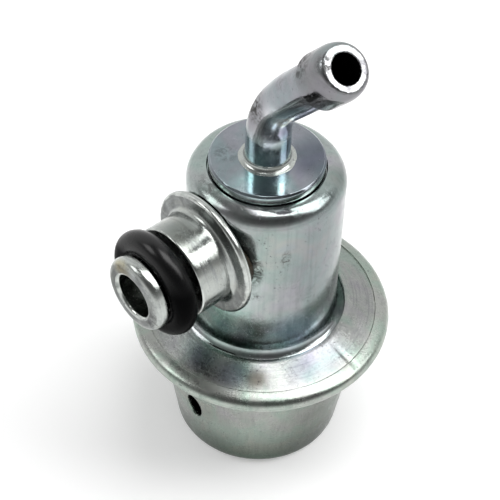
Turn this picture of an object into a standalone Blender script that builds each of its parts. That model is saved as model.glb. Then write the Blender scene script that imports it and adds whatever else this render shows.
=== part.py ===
"""Fuel pressure regulator with a side inlet plug and a bent return pipe.

The inlet plug points along -Y, the return pipe leans towards +X and the spring
cup stands on the XY plane.  Fuel enters through the plug, fills the tall
housing and presses on the diaphragm.  The main spring in the cup holds the
valve plate against the seat at the foot of the central pipe.
Run it in Blender 4.5.  Sizes are in millimetres and become metres as they are
handed to Blender.
"""

import math

import bmesh
import bpy
from mathutils import Matrix, Vector

MM = 0.001

# Clearances
REST = 0.25              # between pieces that rest on each other
SLIP = 0.25              # around a pin or a spigot in its hole
HEM_GAP = 0.2            # between the layers that are rolled together

# Spring cup
CUP_MOUTH_OUT = 4.468    # its wall under the rim, outside the housing's wall
CUP_TAPER = 0.14         # growth of the radius for each unit of height
CUP_SHEET = 0.65
CUP_FOOT_ROUND = 1.7
CUP_NECK_ROUND = 1.6
VENT_HALF_WIDTH = 1.4
VENT_HALF_HEIGHT = 2.65
VENT_HEIGHT = 11.2
VENT_TURN = 5.0          # degrees from the inlet, towards the pipe's side

# Rolled rim that holds the cup to the housing
RIM_WIDTH = 3.662        # from the cup's wall to the rim's outside
RIM_BOTTOM = 21.6
RIM_HEIGHT = 2.5
ROLL_WIDTH = 2.42        # from the rim's outside to the valley inside it
VALLEY_DEPTH = 0.4
LIP_CLEAR = 1.4          # from the housing's wall to the lip's free edge
LIP_SLOPE = 0.4
SHELF_DROP = 0.4         # how far the cup's shelf lies under the rim
SHELF_INSET = 1.03       # from the rim's outside to the shelf's ramp
SHELF_RAMP = 0.8

# Fuel housing
BODY_R = 11.0
BODY_WALL = 1.5
BODY_TOP = 52.0
SHOULDER_ROUND = 2.9
BODY_FOOT_ROUND = 2.4
FLANGE_SHEET = 0.6
CEILING = 1.5

# Disc on the top, which carries the pipe above and the seat pipe below
DISC_R = 8.0
DISC_RISE = 1.45         # above the housing's top
DISC_SINK = 0.75         # depth of its recess in the housing
DISC_CHAMFER = 0.3
SPIGOT_R = 5.6
SPIGOT_LENGTH = 3.5
PIPE_DEPTH = 0.9         # how far the pipe's socket goes below the disc
WEB = 0.5                # between the two sockets

# Return pipe
PIPE_R = 3.1
PIPE_BORE_R = 2.35
PIPE_RISE = 4.88         # straight length above the disc
BEND_R = 10.5
BEND_ANGLE = 41.1        # degrees
BEND_FLAT = 0.55         # how far the bend's outer side is pulled in
PIPE_REACH = 15.83       # straight length after the bend, bead included
PIPE_MOUTH_R = 2.05
BEAD_R = 3.84
BEAD_FACE_R = 2.8
BEAD_NOSE = 2.5
BEAD_LENGTH = 5.65
BEAD_SHOULDER = 0.6
PIPE_FILLET = 0.55

# Seat pipe
SEAT_PIPE_R = 3.6
SEAT_BORE_R = 2.3
SEAT_R = 2.9
SEAT_CHAMFER = 0.9
SEAT_CLEAR = 0.35        # between the seat and the valve plate's retainer

# Inlet plug
INLET_DROP = 9.9         # its axis below the housing's top
INLET_BORE_R = 3.16
NOSE_R = 5.47
PLUG_REACH = 12.1        # from the collar's face to the nose
NOSE_LENGTH = 1.9
NOSE_ROUND = 1.1
GROOVE_R = 3.9
GROOVE_LENGTH = 4.7
SHANK_R = 6.74
SHANK_ROUND = 0.3
COLLAR_R = 9.25
COLLAR_STAND = 0.5       # how far its face stands out of the housing
COLLAR_THICK = 1.15
COLLAR_ROUND = 0.45
COLLAR_FILLET = 0.9
INLET_SPIGOT_R = 6.0
INLET_SPIGOT_LENGTH = 1.6
MOUTH_CHAMFER = 0.35
BRAZE_R = 7.5

# Sealing ring
RING_SECTION_R = 1.85

# Diaphragm
DIAPHRAGM_SHEET = 0.4
DIAPHRAGM_RISE = 0.35    # its middle above the cup's shelf
CLAMP_OUT = 0.43         # its bead beyond the cup's wall
CLAMP_IN = 0.97          # its bead inside the cup's wall
LOOP_WIDTH = 4.0
LOOP_DEPTH = 2.2

# Plates on both sides of the diaphragm
UPPER_PLATE_INSET = 1.1  # from the diaphragm's loop
UPPER_PLATE_SHEET = 0.8
LOWER_PLATE_INSET = 0.6
LOWER_PLATE_SHEET = 0.8
LOWER_PLATE_SKIRT = 1.9
SKIRT_SHEET = 0.55

# Valve holder and what it carries
HOLDER_STEM_R = 2.4
HOLDER_HEAD_R = 4.6
HOLDER_FOOT_R = 3.5
HOLDER_FOOT = 1.1
HOLDER_BORE_R = 1.85
HOLDER_FLOOR = 0.65
HOLDER_BODY = 1.3        # head height below the valve plate's socket
PLATE_SOCKET_R = 3.85
PLATE_SOCKET_DEPTH = 0.85
VALVE_FLANGE_R = 3.55
VALVE_FLANGE = 0.5
VALVE_FACE_R = 2.95
BALL_R = 1.6
RETAINER_SHEET = 0.35
RETAINER_HOLE_R = 3.2
BALL_WIRE_R = 0.16
BALL_COIL_R = 1.25
BALL_TURNS = 3.0

# Main spring and its lower seat
WIRE_R = 0.9
COIL_TURNS = 6.0
SPRING_SEAT_MARGIN = 1.1  # beyond the spring's outside
SPRING_SEAT_SHEET = 0.8
SPRING_SEAT_BOSS = 1.6
BOSS_CLEAR = 0.5         # between the seat's boss and the spring

# Facets
ROUND_LARGE = 40
ROUND_MEDIUM = 28
ROUND_SMALL = 20
ARC_FACET = 0.95         # length of one facet on a rounded corner
ARC_MOST = 4             # facets on one rounded corner

# Levels and lines that several pieces share
CUP_MOUTH_R = BODY_R + CUP_MOUTH_OUT
RIM_R = CUP_MOUTH_R + RIM_WIDTH
RIM_TOP = RIM_BOTTOM + RIM_HEIGHT
VALLEY_R = RIM_R - ROLL_WIDTH
VALLEY_TOP = RIM_TOP - VALLEY_DEPTH
LIP_R = BODY_R + LIP_CLEAR
SLANT = math.hypot(1.0, LIP_SLOPE)
SHELF_R = RIM_R - SHELF_INSET
SHELF_BOTTOM = RIM_BOTTOM - SHELF_DROP
SHELF_TOP = SHELF_BOTTOM + CUP_SHEET
CUP_FOOT_R = CUP_MOUTH_R - CUP_TAPER * SHELF_BOTTOM
ROLL_ROUND = RIM_HEIGHT / 2 - 0.02
DISC_TOP = BODY_TOP + DISC_RISE
DISC_SEAT = BODY_TOP - DISC_SINK
DISC_BOTTOM = DISC_SEAT + REST
SPIGOT_BOTTOM = DISC_BOTTOM - SPIGOT_LENGTH
PIPE_SEAT = DISC_BOTTOM - PIPE_DEPTH
STEM_SEAT = PIPE_SEAT - WEB
INLET_HEIGHT = BODY_TOP - INLET_DROP
COLLAR_FACE = BODY_R + COLLAR_STAND
COLLAR_BACK = COLLAR_FACE - COLLAR_THICK
NOSE_FACE = COLLAR_FACE + PLUG_REACH
NOSE_BACK = NOSE_FACE - NOSE_LENGTH
SHANK_FACE = NOSE_BACK - GROOVE_LENGTH
RING_R = GROOVE_R + SLIP + RING_SECTION_R
RING_MIDDLE = NOSE_BACK - REST - RING_SECTION_R
BEAD_EDGE_R = CUP_MOUTH_R + CLAMP_OUT
BEAD_INNER_R = CUP_MOUTH_R - CLAMP_IN
LOOP_OUTER_R = BEAD_INNER_R - 0.6
LOOP_INNER_R = LOOP_OUTER_R - LOOP_WIDTH
DIAPHRAGM_BOTTOM = SHELF_TOP + DIAPHRAGM_RISE
DIAPHRAGM_TOP = DIAPHRAGM_BOTTOM + DIAPHRAGM_SHEET
UPPER_PLATE_R = LOOP_INNER_R - UPPER_PLATE_INSET
LOWER_PLATE_R = LOOP_INNER_R - LOWER_PLATE_INSET
COIL_R = LOWER_PLATE_R - SKIRT_SHEET - REST - WIRE_R
SPRING_SEAT_R = COIL_R + WIRE_R + SPRING_SEAT_MARGIN
SPRING_SEAT_BOSS_R = COIL_R - WIRE_R - BOSS_CLEAR
UPPER_PLATE_BOTTOM = DIAPHRAGM_TOP + REST
UPPER_PLATE_TOP = UPPER_PLATE_BOTTOM + UPPER_PLATE_SHEET
LOWER_PLATE_TOP = DIAPHRAGM_BOTTOM - REST
LOWER_PLATE_BOTTOM = LOWER_PLATE_TOP - LOWER_PLATE_SHEET
HOLDER_HEAD_BOTTOM = UPPER_PLATE_TOP + REST
SOCKET_FLOOR = HOLDER_HEAD_BOTTOM + HOLDER_BODY
HOLDER_TOP = SOCKET_FLOOR + PLATE_SOCKET_DEPTH
RETAINER_BOTTOM = HOLDER_TOP + REST
RETAINER_TOP = RETAINER_BOTTOM + RETAINER_SHEET
SEAT_HEIGHT = RETAINER_TOP + SEAT_CLEAR
VALVE_TOP = SEAT_HEIGHT - REST
VALVE_BOTTOM = SOCKET_FLOOR + REST
BALL_TOP = VALVE_BOTTOM - REST
HOLDER_FOOT_TOP = LOWER_PLATE_BOTTOM - REST
HOLDER_BOTTOM = HOLDER_FOOT_TOP - HOLDER_FOOT
SPRING_SEAT_BOTTOM = CUP_SHEET + REST
SPRING_SEAT_TOP = SPRING_SEAT_BOTTOM + SPRING_SEAT_SHEET
SPRING_BOTTOM = SPRING_SEAT_TOP + REST
SPRING_TOP = LOWER_PLATE_BOTTOM - REST


def cup_radius(height):
    """Outer radius of the cup's tapered wall at a height."""
    return CUP_FOOT_R + CUP_TAPER * height


def lip_top(radius):
    """Height of the lip's upper face on its cone."""
    return VALLEY_TOP + LIP_SLOPE * (VALLEY_R - radius)


def flange_top(radius):
    """Height of the housing flange's upper face, under the lip."""
    return lip_top(radius) - (CUP_SHEET + HEM_GAP) * SLANT


def flange_bottom(radius):
    """Height of the housing flange's lower face on its cone."""
    return flange_top(radius) - FLANGE_SHEET * SLANT


# Profiles and turning

def arc_between(before, corner, after, radius):
    """Points of the arc that rounds a corner of a profile."""
    corner = Vector(corner)
    to_before = Vector(before) - corner
    to_after = Vector(after) - corner
    angle = to_before.angle(to_after)
    if radius <= 0 or angle > math.radians(179):
        return [corner]
    reach = radius / math.tan(angle / 2)
    limit = 0.49 * min(to_before.length, to_after.length)
    if reach > limit:
        reach = limit
        radius = reach * math.tan(angle / 2)
    start = corner + to_before.normalized() * reach
    bisector = (to_before.normalized() + to_after.normalized()).normalized()
    centre = corner + bisector * (radius / math.sin(angle / 2))
    spoke = start - centre
    sweep = math.pi - angle
    if to_before.cross(to_after) > 0:
        sweep = -sweep
    steps = min(ARC_MOST, max(1, round(radius * abs(sweep) / ARC_FACET)))
    points = []
    for i in range(steps + 1):
        turn = Matrix.Rotation(sweep * i / steps, 2)
        points.append(centre + turn @ spoke)
    return points


def rounded(points, closed=True):
    """A profile of (radius, height, rounding) entries as plain points."""
    line = []
    count = len(points)
    for i, (r, z, rounding) in enumerate(points):
        at_end = not closed and i in (0, count - 1)
        if at_end or rounding == 0:
            line.append(Vector((r, z)))
            continue
        before = points[i - 1][:2]
        after = points[(i + 1) % count][:2]
        line.extend(arc_between(before, (r, z), after, rounding))
    return line


def new_object(name, mesh, collection):
    thing = bpy.data.objects.new(name, mesh)
    collection.objects.link(thing)
    return thing


def turned(name, points, collection, segments=ROUND_MEDIUM, closed=True):
    """A profile at +X turned about Z.  It runs down its outer side."""
    line = rounded(points, closed)
    vertices = [(p.x * MM, 0.0, p.y * MM) for p in line]
    edges = [(i, i + 1) for i in range(len(line) - 1)]
    if closed:
        edges.append((len(line) - 1, 0))
    mesh = bpy.data.meshes.new(name)
    mesh.from_pydata(vertices, edges, [])
    thing = new_object(name, mesh, collection)
    screw = thing.modifiers.new("Turn", "SCREW")
    screw.axis = "Z"
    screw.angle = math.tau
    screw.steps = segments
    screw.render_steps = segments
    screw.use_merge_vertices = True
    screw.merge_threshold = 0.000005
    screw.use_smooth_shade = True
    return thing


def cut(thing, cutter):
    boolean = thing.modifiers.new("Cut " + cutter.name, "BOOLEAN")
    boolean.operation = "DIFFERENCE"
    boolean.solver = "EXACT"
    boolean.object = cutter


def as_cutter(thing):
    thing.hide_render = True
    thing.display_type = "WIRE"
    return thing


def cylinder_cutter(name, radius, start, end, collection, segments=ROUND_MEDIUM):
    """A plain bar along its own Z, from start to end."""
    mesh = bpy.data.meshes.new(name)
    bar = bmesh.new()
    bmesh.ops.create_cone(
        bar, cap_ends=True, segments=segments, radius1=radius * MM,
        radius2=radius * MM, depth=(end - start) * MM,
        matrix=Matrix.Translation((0, 0, (start + end) / 2 * MM)))
    bar.to_mesh(mesh)
    bar.free()
    return as_cutter(new_object(name, mesh, collection))


def face_inlet(thing):
    """Lay a piece that was turned about Z onto the inlet's axis."""
    thing.location = (0, 0, INLET_HEIGHT * MM)
    thing.rotation_euler = (math.radians(90), 0, 0)
    return thing


def wire(name, points, radius, collection, resolution=2, radii=None):
    """A poly curve with a round section and filled caps."""
    curve = bpy.data.curves.new(name, "CURVE")
    curve.dimensions = "3D"
    curve.bevel_depth = radius * MM
    curve.bevel_resolution = resolution
    curve.use_fill_caps = True
    spline = curve.splines.new("POLY")
    spline.points.add(len(points) - 1)
    for i, (x, y, z) in enumerate(points):
        spline.points[i].co = (x * MM, y * MM, z * MM, 1)
        if radii:
            spline.points[i].radius = radii[i] / radius
    return new_object(name, curve, collection)


def curve_to_mesh(thing, collection):
    """The curve as a welded mesh object with the same name and place."""
    name = thing.name
    bpy.context.view_layer.update()
    graph = bpy.context.evaluated_depsgraph_get()
    mesh = bpy.data.meshes.new_from_object(thing.evaluated_get(graph))
    welded = bmesh.new()
    welded.from_mesh(mesh)
    bmesh.ops.remove_doubles(welded, verts=welded.verts, dist=0.000002)
    bmesh.ops.recalc_face_normals(welded, faces=welded.faces)
    welded.to_mesh(mesh)
    welded.free()
    place = thing.matrix_world.copy()
    bpy.data.objects.remove(thing)
    solid = new_object(name, mesh, collection)
    solid.matrix_world = place
    return solid


# Materials

def material(name, colour, roughness, metallic):
    look = bpy.data.materials.new(name)
    look.use_nodes = True
    shader = look.node_tree.nodes["Principled BSDF"]
    shader.inputs["Base Color"].default_value = (*colour, 1)
    shader.inputs["Roughness"].default_value = roughness
    shader.inputs["Metallic"].default_value = metallic
    look.diffuse_color = (*colour, 1)
    return look


def wear(thing, colour, roughness, metallic):
    thing.data.materials.append(material(thing.name, colour, roughness, metallic))


# Pieces of the body

def make_spring_cup(parts, cutters):
    """Tapered drawn cup whose edge is rolled over the housing's flange."""
    neck = SHELF_BOTTOM
    outside = [
        (LIP_R, lip_top(LIP_R), 0),
        (VALLEY_R, VALLEY_TOP, 0.9),
        (VALLEY_R + 0.85, RIM_TOP, 0.4),
        (RIM_R, RIM_TOP, ROLL_ROUND),
        (RIM_R, RIM_BOTTOM, ROLL_ROUND),
        (SHELF_R, RIM_BOTTOM, 0.3),
        (SHELF_R - SHELF_RAMP, neck, 0.3),
        (cup_radius(neck), neck, CUP_NECK_ROUND),
        (CUP_FOOT_R, 0, CUP_FOOT_ROUND),
        (0, 0, 0),
    ]
    cup = turned("spring_cup", outside, parts, ROUND_LARGE, closed=False)
    shell = cup.modifiers.new("Sheet", "SOLIDIFY")
    shell.thickness = CUP_SHEET * MM
    shell.offset = -1
    shell.use_even_offset = True
    vent = cylinder_cutter(
        "vent_cutter", VENT_HALF_WIDTH, BODY_R * 0.6, RIM_R, cutters, ROUND_SMALL)
    vent.data.transform(Matrix.Diagonal((
        1, VENT_HALF_HEIGHT / VENT_HALF_WIDTH, 1, 1)))
    vent.location = (0, 0, VENT_HEIGHT * MM)
    vent.rotation_euler = (math.radians(90), 0, math.radians(VENT_TURN))
    cut(cup, vent)
    wear(cup, (0.60, 0.63, 0.60), 0.42, 1.0)
    return cup


def make_fuel_housing(parts, cutters):
    """Deep drawn shell with a conical flange and a recess for the disc."""
    inner = BODY_R - BODY_WALL
    edge = RIM_R - CUP_SHEET - HEM_GAP - 0.35
    edge_mid = RIM_BOTTOM + RIM_HEIGHT / 2
    dip = VALLEY_R + 0.1
    section = [
        (SPIGOT_R + SLIP, BODY_TOP, 0),
        (BODY_R, BODY_TOP, SHOULDER_ROUND),
        (BODY_R, flange_top(BODY_R), BODY_FOOT_ROUND),
        (dip, flange_top(dip), 0.5),
        (edge, edge_mid + FLANGE_SHEET / 2, 0.2),
        (edge, edge_mid - FLANGE_SHEET / 2, 0.2),
        (dip, flange_bottom(dip), 0.5),
        (inner, flange_bottom(inner), 1.2),
        (inner, BODY_TOP - CEILING, 1.4),
        (SPIGOT_R + SLIP, BODY_TOP - CEILING, 0),
    ]
    housing = turned("fuel_housing", section, parts, ROUND_LARGE)
    recess = cylinder_cutter(
        "recess_cutter", DISC_R + SLIP, DISC_SEAT, BODY_TOP + 2, cutters,
        ROUND_LARGE)
    hole = face_inlet(cylinder_cutter(
        "inlet_hole_cutter", INLET_SPIGOT_R + SLIP, inner * 0.5, BODY_R + 2,
        cutters, ROUND_MEDIUM))
    seat = face_inlet(cylinder_cutter(
        "collar_seat_cutter", COLLAR_R + SLIP, COLLAR_BACK - REST, BODY_R + 2,
        cutters, ROUND_MEDIUM))
    for cutter in (recess, hole, seat):
        cut(housing, cutter)
    wear(housing, (0.66, 0.69, 0.67), 0.3, 1.0)
    return housing


def make_outlet_disc(parts):
    """Turned disc with a socket for the pipe and one for the seat pipe."""
    section = [
        (PIPE_R + SLIP, DISC_TOP, 0),
        (DISC_R, DISC_TOP, 0),
        (DISC_R, DISC_BOTTOM, 0),
        (SPIGOT_R, DISC_BOTTOM, 0),
        (SPIGOT_R, SPIGOT_BOTTOM, 0.3),
        (SEAT_PIPE_R + SLIP, SPIGOT_BOTTOM, 0),
        (SEAT_PIPE_R + SLIP, STEM_SEAT, 0),
        (PIPE_BORE_R, STEM_SEAT, 0),
        (PIPE_BORE_R, PIPE_SEAT, 0),
        (PIPE_R + SLIP, PIPE_SEAT, 0),
    ]
    section[1:2] = [
        (DISC_R - DISC_CHAMFER, DISC_TOP, 0),
        (DISC_R, DISC_TOP - DISC_CHAMFER, 0),
    ]
    disc = turned("outlet_disc", section, parts, ROUND_LARGE)
    wear(disc, (0.48, 0.52, 0.53), 0.34, 1.0)
    return disc


def pipe_path(start, end_extra, steps=12):
    """Centre line of the bent pipe, with the distance left to its mouth."""
    bend_foot = DISC_TOP + PIPE_RISE
    angle = math.radians(BEND_ANGLE)
    points = [(0, 0, start), (0, 0, bend_foot)]
    for i in range(1, steps + 1):
        turn = angle * i / steps
        points.append((
            BEND_R * (1 - math.cos(turn)), 0, bend_foot + BEND_R * math.sin(turn)))
    last = points[-1]
    reach = PIPE_REACH + end_extra
    way = (math.sin(angle), 0, math.cos(angle))
    end = tuple(last[k] + way[k] * reach for k in range(3))
    return points, end, way


def flatten_bend(thing, radius):
    """Pull the bend's outer side in, most at the middle of the bend."""
    foot = (DISC_TOP + PIPE_RISE) * MM
    centre = Vector((BEND_R * MM, foot))
    angle = math.radians(BEND_ANGLE)
    for vertex in thing.data.vertices:
        spoke = Vector((vertex.co.x, vertex.co.z)) - centre
        turn = math.atan2(spoke.y, -spoke.x)
        out = spoke.length / (radius * MM) - BEND_R / radius
        share = abs(turn / angle - 0.5)
        if out > 0 and share < 1:
            pull = BEND_FLAT * MM * min(out, 1) ** 2 * math.cos(share * math.pi / 2) ** 2
            spoke.length -= pull
            vertex.co.x = centre.x + spoke.x
            vertex.co.z = centre.y + spoke.y


def make_return_pipe(parts, cutters):
    """Bent pipe with a long round bead for a hose, bored right through."""
    points, end, way = pipe_path(PIPE_SEAT + REST, 0)
    radii = [PIPE_R] * len(points)
    outline = [
        (BEAD_LENGTH + BEAD_SHOULDER, PIPE_R),
        (BEAD_LENGTH + BEAD_SHOULDER * 0.4, (PIPE_R + BEAD_R) / 2),
        (BEAD_LENGTH, BEAD_R),
        (BEAD_NOSE, BEAD_R),
        (BEAD_NOSE * 0.42, BEAD_R - (BEAD_R - BEAD_FACE_R) * 0.28),
        (BEAD_NOSE * 0.1, BEAD_R - (BEAD_R - BEAD_FACE_R) * 0.7),
        (0, BEAD_FACE_R),
    ]
    for back, radius in outline:
        points.append(tuple(end[k] - way[k] * back for k in range(3)))
        radii.append(radius)
    outer = wire("return_pipe", points, PIPE_R, parts, 6, radii)
    pipe = curve_to_mesh(outer, parts)
    flatten_bend(pipe, PIPE_R)
    points, end, way = pipe_path(PIPE_SEAT - 2, 2)
    radii = [PIPE_BORE_R] * len(points)
    for back, radius in ((BEAD_LENGTH + 2, PIPE_BORE_R), (BEAD_LENGTH, PIPE_MOUTH_R),
                         (0, PIPE_MOUTH_R)):
        points.append(tuple(end[k] - way[k] * back for k in range(3)))
        radii.append(radius)
    bore = curve_to_mesh(
        wire("pipe_bore_cutter", points, PIPE_BORE_R, cutters, 5, radii), cutters)
    flatten_bend(bore, PIPE_BORE_R)
    cut(pipe, as_cutter(bore))
    wear(pipe, (0.55, 0.55, 0.60), 0.3, 1.0)
    return pipe


def make_pipe_braze(parts):
    """Concave braze ring round the foot of the pipe."""
    inner = PIPE_R + REST
    foot = DISC_TOP + REST
    section = [(inner, foot + PIPE_FILLET * 0.8, 0)]
    for i in range(1, 5):
        turn = math.radians(22.5 * i)
        section.append((
            inner + PIPE_FILLET * (1.25 - math.cos(turn)),
            foot + PIPE_FILLET * (1.1 - math.sin(turn)), 0))
    section.append((inner + PIPE_FILLET * 1.25, foot, 0))
    section.append((inner, foot, 0))
    braze = turned("pipe_braze", section, parts, ROUND_MEDIUM)
    wear(braze, (0.52, 0.53, 0.50), 0.4, 1.0)
    return braze


def make_seat_pipe(parts):
    """Central pipe whose lower end is the valve seat."""
    top = STEM_SEAT - REST
    section = [
        (SEAT_PIPE_R, top, 0.2),
        (SEAT_PIPE_R, SEAT_HEIGHT + SEAT_CHAMFER, 0),
        (SEAT_R, SEAT_HEIGHT, 0),
        (SEAT_BORE_R, SEAT_HEIGHT, 0),
        (SEAT_BORE_R, top, 0),
    ]
    pipe = turned("seat_pipe", section, parts, ROUND_SMALL)
    wear(pipe, (0.62, 0.60, 0.55), 0.25, 1.0)
    return pipe


def make_inlet_plug(parts):
    """Turned plug with nose, ring groove, shank, collar and spigot."""
    spigot_end = COLLAR_BACK - INLET_SPIGOT_LENGTH
    section = [
        (INLET_BORE_R + MOUTH_CHAMFER, NOSE_FACE, 0),
        (NOSE_R, NOSE_FACE, NOSE_ROUND),
        (NOSE_R, NOSE_BACK, 0.15),
        (GROOVE_R, NOSE_BACK, 0),
        (GROOVE_R, SHANK_FACE, 0),
        (SHANK_R, SHANK_FACE, SHANK_ROUND),
        (SHANK_R, COLLAR_FACE, COLLAR_FILLET),
        (COLLAR_R, COLLAR_FACE, COLLAR_ROUND),
        (COLLAR_R, COLLAR_BACK, COLLAR_ROUND),
        (INLET_SPIGOT_R, COLLAR_BACK, 0),
        (INLET_SPIGOT_R, spigot_end, 0),
        (INLET_BORE_R, spigot_end, 0),
        (INLET_BORE_R, NOSE_FACE - MOUTH_CHAMFER, 0),
    ]
    plug = face_inlet(turned("inlet_plug", section, parts, ROUND_MEDIUM))
    wear(plug, (0.70, 0.71, 0.69), 0.26, 1.0)
    return plug


def make_inlet_brazes(parts, cutters):
    """Braze in the two wedges between the collar and the round housing."""
    body = cylinder_cutter(
        "body_cutter", BODY_R + REST, INLET_HEIGHT - 2 * COLLAR_R,
        INLET_HEIGHT + 2 * COLLAR_R, cutters, ROUND_LARGE)
    brazes = []
    for name, side in (("inlet_braze_left", -1), ("inlet_braze_right", 1)):
        back = COLLAR_BACK - REST
        section = [
            (BRAZE_R, back, 0),
            (BRAZE_R - 0.6, BODY_R * 0.45, 0),
            (INLET_SPIGOT_R + 0.6, BODY_R * 0.45, 0),
            (INLET_SPIGOT_R + 0.6, back, 0),
        ]
        braze = face_inlet(turned(name, section, parts, ROUND_MEDIUM))
        mesh = bpy.data.meshes.new(name + "_half")
        block = bmesh.new()
        bmesh.ops.create_cube(block, size=1)
        bmesh.ops.transform(block, matrix=Matrix.Diagonal((
            BODY_R * 2 * MM, BODY_R * 3 * MM, BODY_R * 3 * MM, 1)), verts=block.verts)
        block.to_mesh(mesh)
        block.free()
        half = as_cutter(new_object(name + "_half", mesh, cutters))
        half.location = (-side * BODY_R * MM, -BODY_R * MM, INLET_HEIGHT * MM)
        cut(braze, body)
        cut(braze, half)
        wear(braze, (0.50, 0.47, 0.36), 0.45, 1.0)
        brazes.append(braze)
    return brazes


def make_sealing_ring(parts):
    """Rubber ring in the plug's groove."""
    bpy.ops.mesh.primitive_torus_add(
        major_segments=ROUND_MEDIUM, minor_segments=10,
        major_radius=RING_R * MM, minor_radius=RING_SECTION_R * MM)
    ring = bpy.context.object
    ring.name = "sealing_ring"
    for owner in list(ring.users_collection):
        owner.objects.unlink(ring)
    parts.objects.link(ring)
    ring.rotation_euler = (math.radians(90), 0, 0)
    ring.location = (0, -RING_MIDDLE * MM, INLET_HEIGHT * MM)
    ring.data.shade_smooth()
    wear(ring, (0.012, 0.012, 0.013), 0.35, 0.0)
    return ring


def make_spring_seat(parts):
    """Pressed seat on the cup's floor, with a boss inside the spring."""
    section = [
        (0, SPRING_SEAT_TOP + SPRING_SEAT_BOSS, 0),
        (SPRING_SEAT_BOSS_R, SPRING_SEAT_TOP + SPRING_SEAT_BOSS, 0.8),
        (SPRING_SEAT_BOSS_R, SPRING_SEAT_TOP, 0.3),
        (SPRING_SEAT_R, SPRING_SEAT_TOP, 0.3),
        (SPRING_SEAT_R, SPRING_SEAT_BOTTOM, 0),
        (SPRING_SEAT_BOSS_R - SPRING_SEAT_SHEET, SPRING_SEAT_BOTTOM, 0.3),
        (SPRING_SEAT_BOSS_R - SPRING_SEAT_SHEET,
         SPRING_SEAT_BOTTOM + SPRING_SEAT_BOSS, 0.4),
        (0, SPRING_SEAT_BOTTOM + SPRING_SEAT_BOSS, 0),
    ]
    seat = turned("spring_seat", section, parts, ROUND_SMALL, closed=False)
    wear(seat, (0.56, 0.56, 0.54), 0.4, 1.0)
    return seat


# Pieces of the moving valve

def make_diaphragm(parts):
    """Rubber diaphragm with one loop and a wedge-shaped clamped bead."""
    hole = HOLDER_STEM_R + SLIP
    seat = SHELF_TOP + HEM_GAP
    loop_outer = LOOP_OUTER_R
    top = DIAPHRAGM_TOP
    low = DIAPHRAGM_BOTTOM

    def under_flange(radius):
        return flange_bottom(radius) - HEM_GAP * SLANT

    section = [
        (hole, top, 0),
        (LOOP_INNER_R, top, 0.6),
        (LOOP_INNER_R + 1.0, top - LOOP_DEPTH, 0.8),
        (loop_outer - 1.2, top - LOOP_DEPTH, 0.8),
        (loop_outer - 0.2, under_flange(BEAD_INNER_R) - 0.4, 0.4),
        (BEAD_INNER_R, under_flange(BEAD_INNER_R), 0.2),
        (BEAD_EDGE_R, under_flange(BEAD_EDGE_R), 0),
        (BEAD_EDGE_R, seat, 0),
        (loop_outer + 0.35, seat, 0.2),
        (loop_outer - 0.9, top - LOOP_DEPTH - DIAPHRAGM_SHEET, 0.9),
        (LOOP_INNER_R + 0.7, top - LOOP_DEPTH - DIAPHRAGM_SHEET, 0.9),
        (LOOP_INNER_R - 0.3, low, 0.4),
        (hole, low, 0),
    ]
    sheet = turned("diaphragm", section, parts, ROUND_MEDIUM)
    wear(sheet, (0.03, 0.03, 0.032), 0.6, 0.0)
    return sheet


def make_plates(parts):
    """Steel plates that grip the diaphragm's middle."""
    hole = HOLDER_STEM_R + SLIP
    upper = turned("upper_plate", [
        (hole, UPPER_PLATE_TOP, 0),
        (UPPER_PLATE_R, UPPER_PLATE_TOP, 0.3),
        (UPPER_PLATE_R, UPPER_PLATE_BOTTOM, 0.3),
        (hole, UPPER_PLATE_BOTTOM, 0),
    ], parts, ROUND_MEDIUM)
    lower = turned("lower_plate", [
        (hole, LOWER_PLATE_TOP, 0),
        (LOWER_PLATE_R, LOWER_PLATE_TOP, 0.7),
        (LOWER_PLATE_R, LOWER_PLATE_BOTTOM - LOWER_PLATE_SKIRT, 0),
        (LOWER_PLATE_R - SKIRT_SHEET, LOWER_PLATE_BOTTOM - LOWER_PLATE_SKIRT, 0),
        (LOWER_PLATE_R - SKIRT_SHEET, LOWER_PLATE_BOTTOM, 0.2),
        (hole, LOWER_PLATE_BOTTOM, 0),
    ], parts, ROUND_MEDIUM)
    for plate in (upper, lower):
        wear(plate, (0.58, 0.57, 0.52), 0.35, 1.0)
    return [upper, lower]


def make_valve_holder(parts):
    """Turned holder, riveted through the plates and bored for the ball."""
    floor = HOLDER_BOTTOM + HOLDER_FLOOR
    section = [
        (HOLDER_HEAD_R, HOLDER_TOP, 0),
        (HOLDER_HEAD_R, HOLDER_HEAD_BOTTOM, 0),
        (HOLDER_STEM_R, HOLDER_HEAD_BOTTOM, 0),
        (HOLDER_STEM_R, HOLDER_FOOT_TOP, 0),
        (HOLDER_FOOT_R, HOLDER_FOOT_TOP, 0),
        (HOLDER_FOOT_R, HOLDER_BOTTOM, 0.5),
        (0, HOLDER_BOTTOM, 0),
        (0, floor, 0),
        (HOLDER_BORE_R, floor, 0),
        (HOLDER_BORE_R, SOCKET_FLOOR, 0),
        (PLATE_SOCKET_R, SOCKET_FLOOR, 0),
        (PLATE_SOCKET_R, HOLDER_TOP, 0),
    ]
    # The open line starts and ends on the axis.
    line = section[7:] + section[:7]
    holder = turned("valve_holder", line, parts, ROUND_SMALL, closed=False)
    wear(holder, (0.66, 0.60, 0.44), 0.28, 1.0)
    return holder


def make_valve_plate(parts):
    """Flat valve plate that closes the seat, with a step for its retainer."""
    section = [
        (0, VALVE_TOP, 0),
        (VALVE_FACE_R, VALVE_TOP, 0.1),
        (VALVE_FACE_R, VALVE_BOTTOM + VALVE_FLANGE, 0),
        (VALVE_FLANGE_R, VALVE_BOTTOM + VALVE_FLANGE, 0),
        (VALVE_FLANGE_R, VALVE_BOTTOM, 0),
        (0, VALVE_BOTTOM, 0),
    ]
    plate = turned("valve_plate", section, parts, ROUND_SMALL, closed=False)
    wear(plate, (0.60, 0.61, 0.62), 0.15, 1.0)
    return plate


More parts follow.
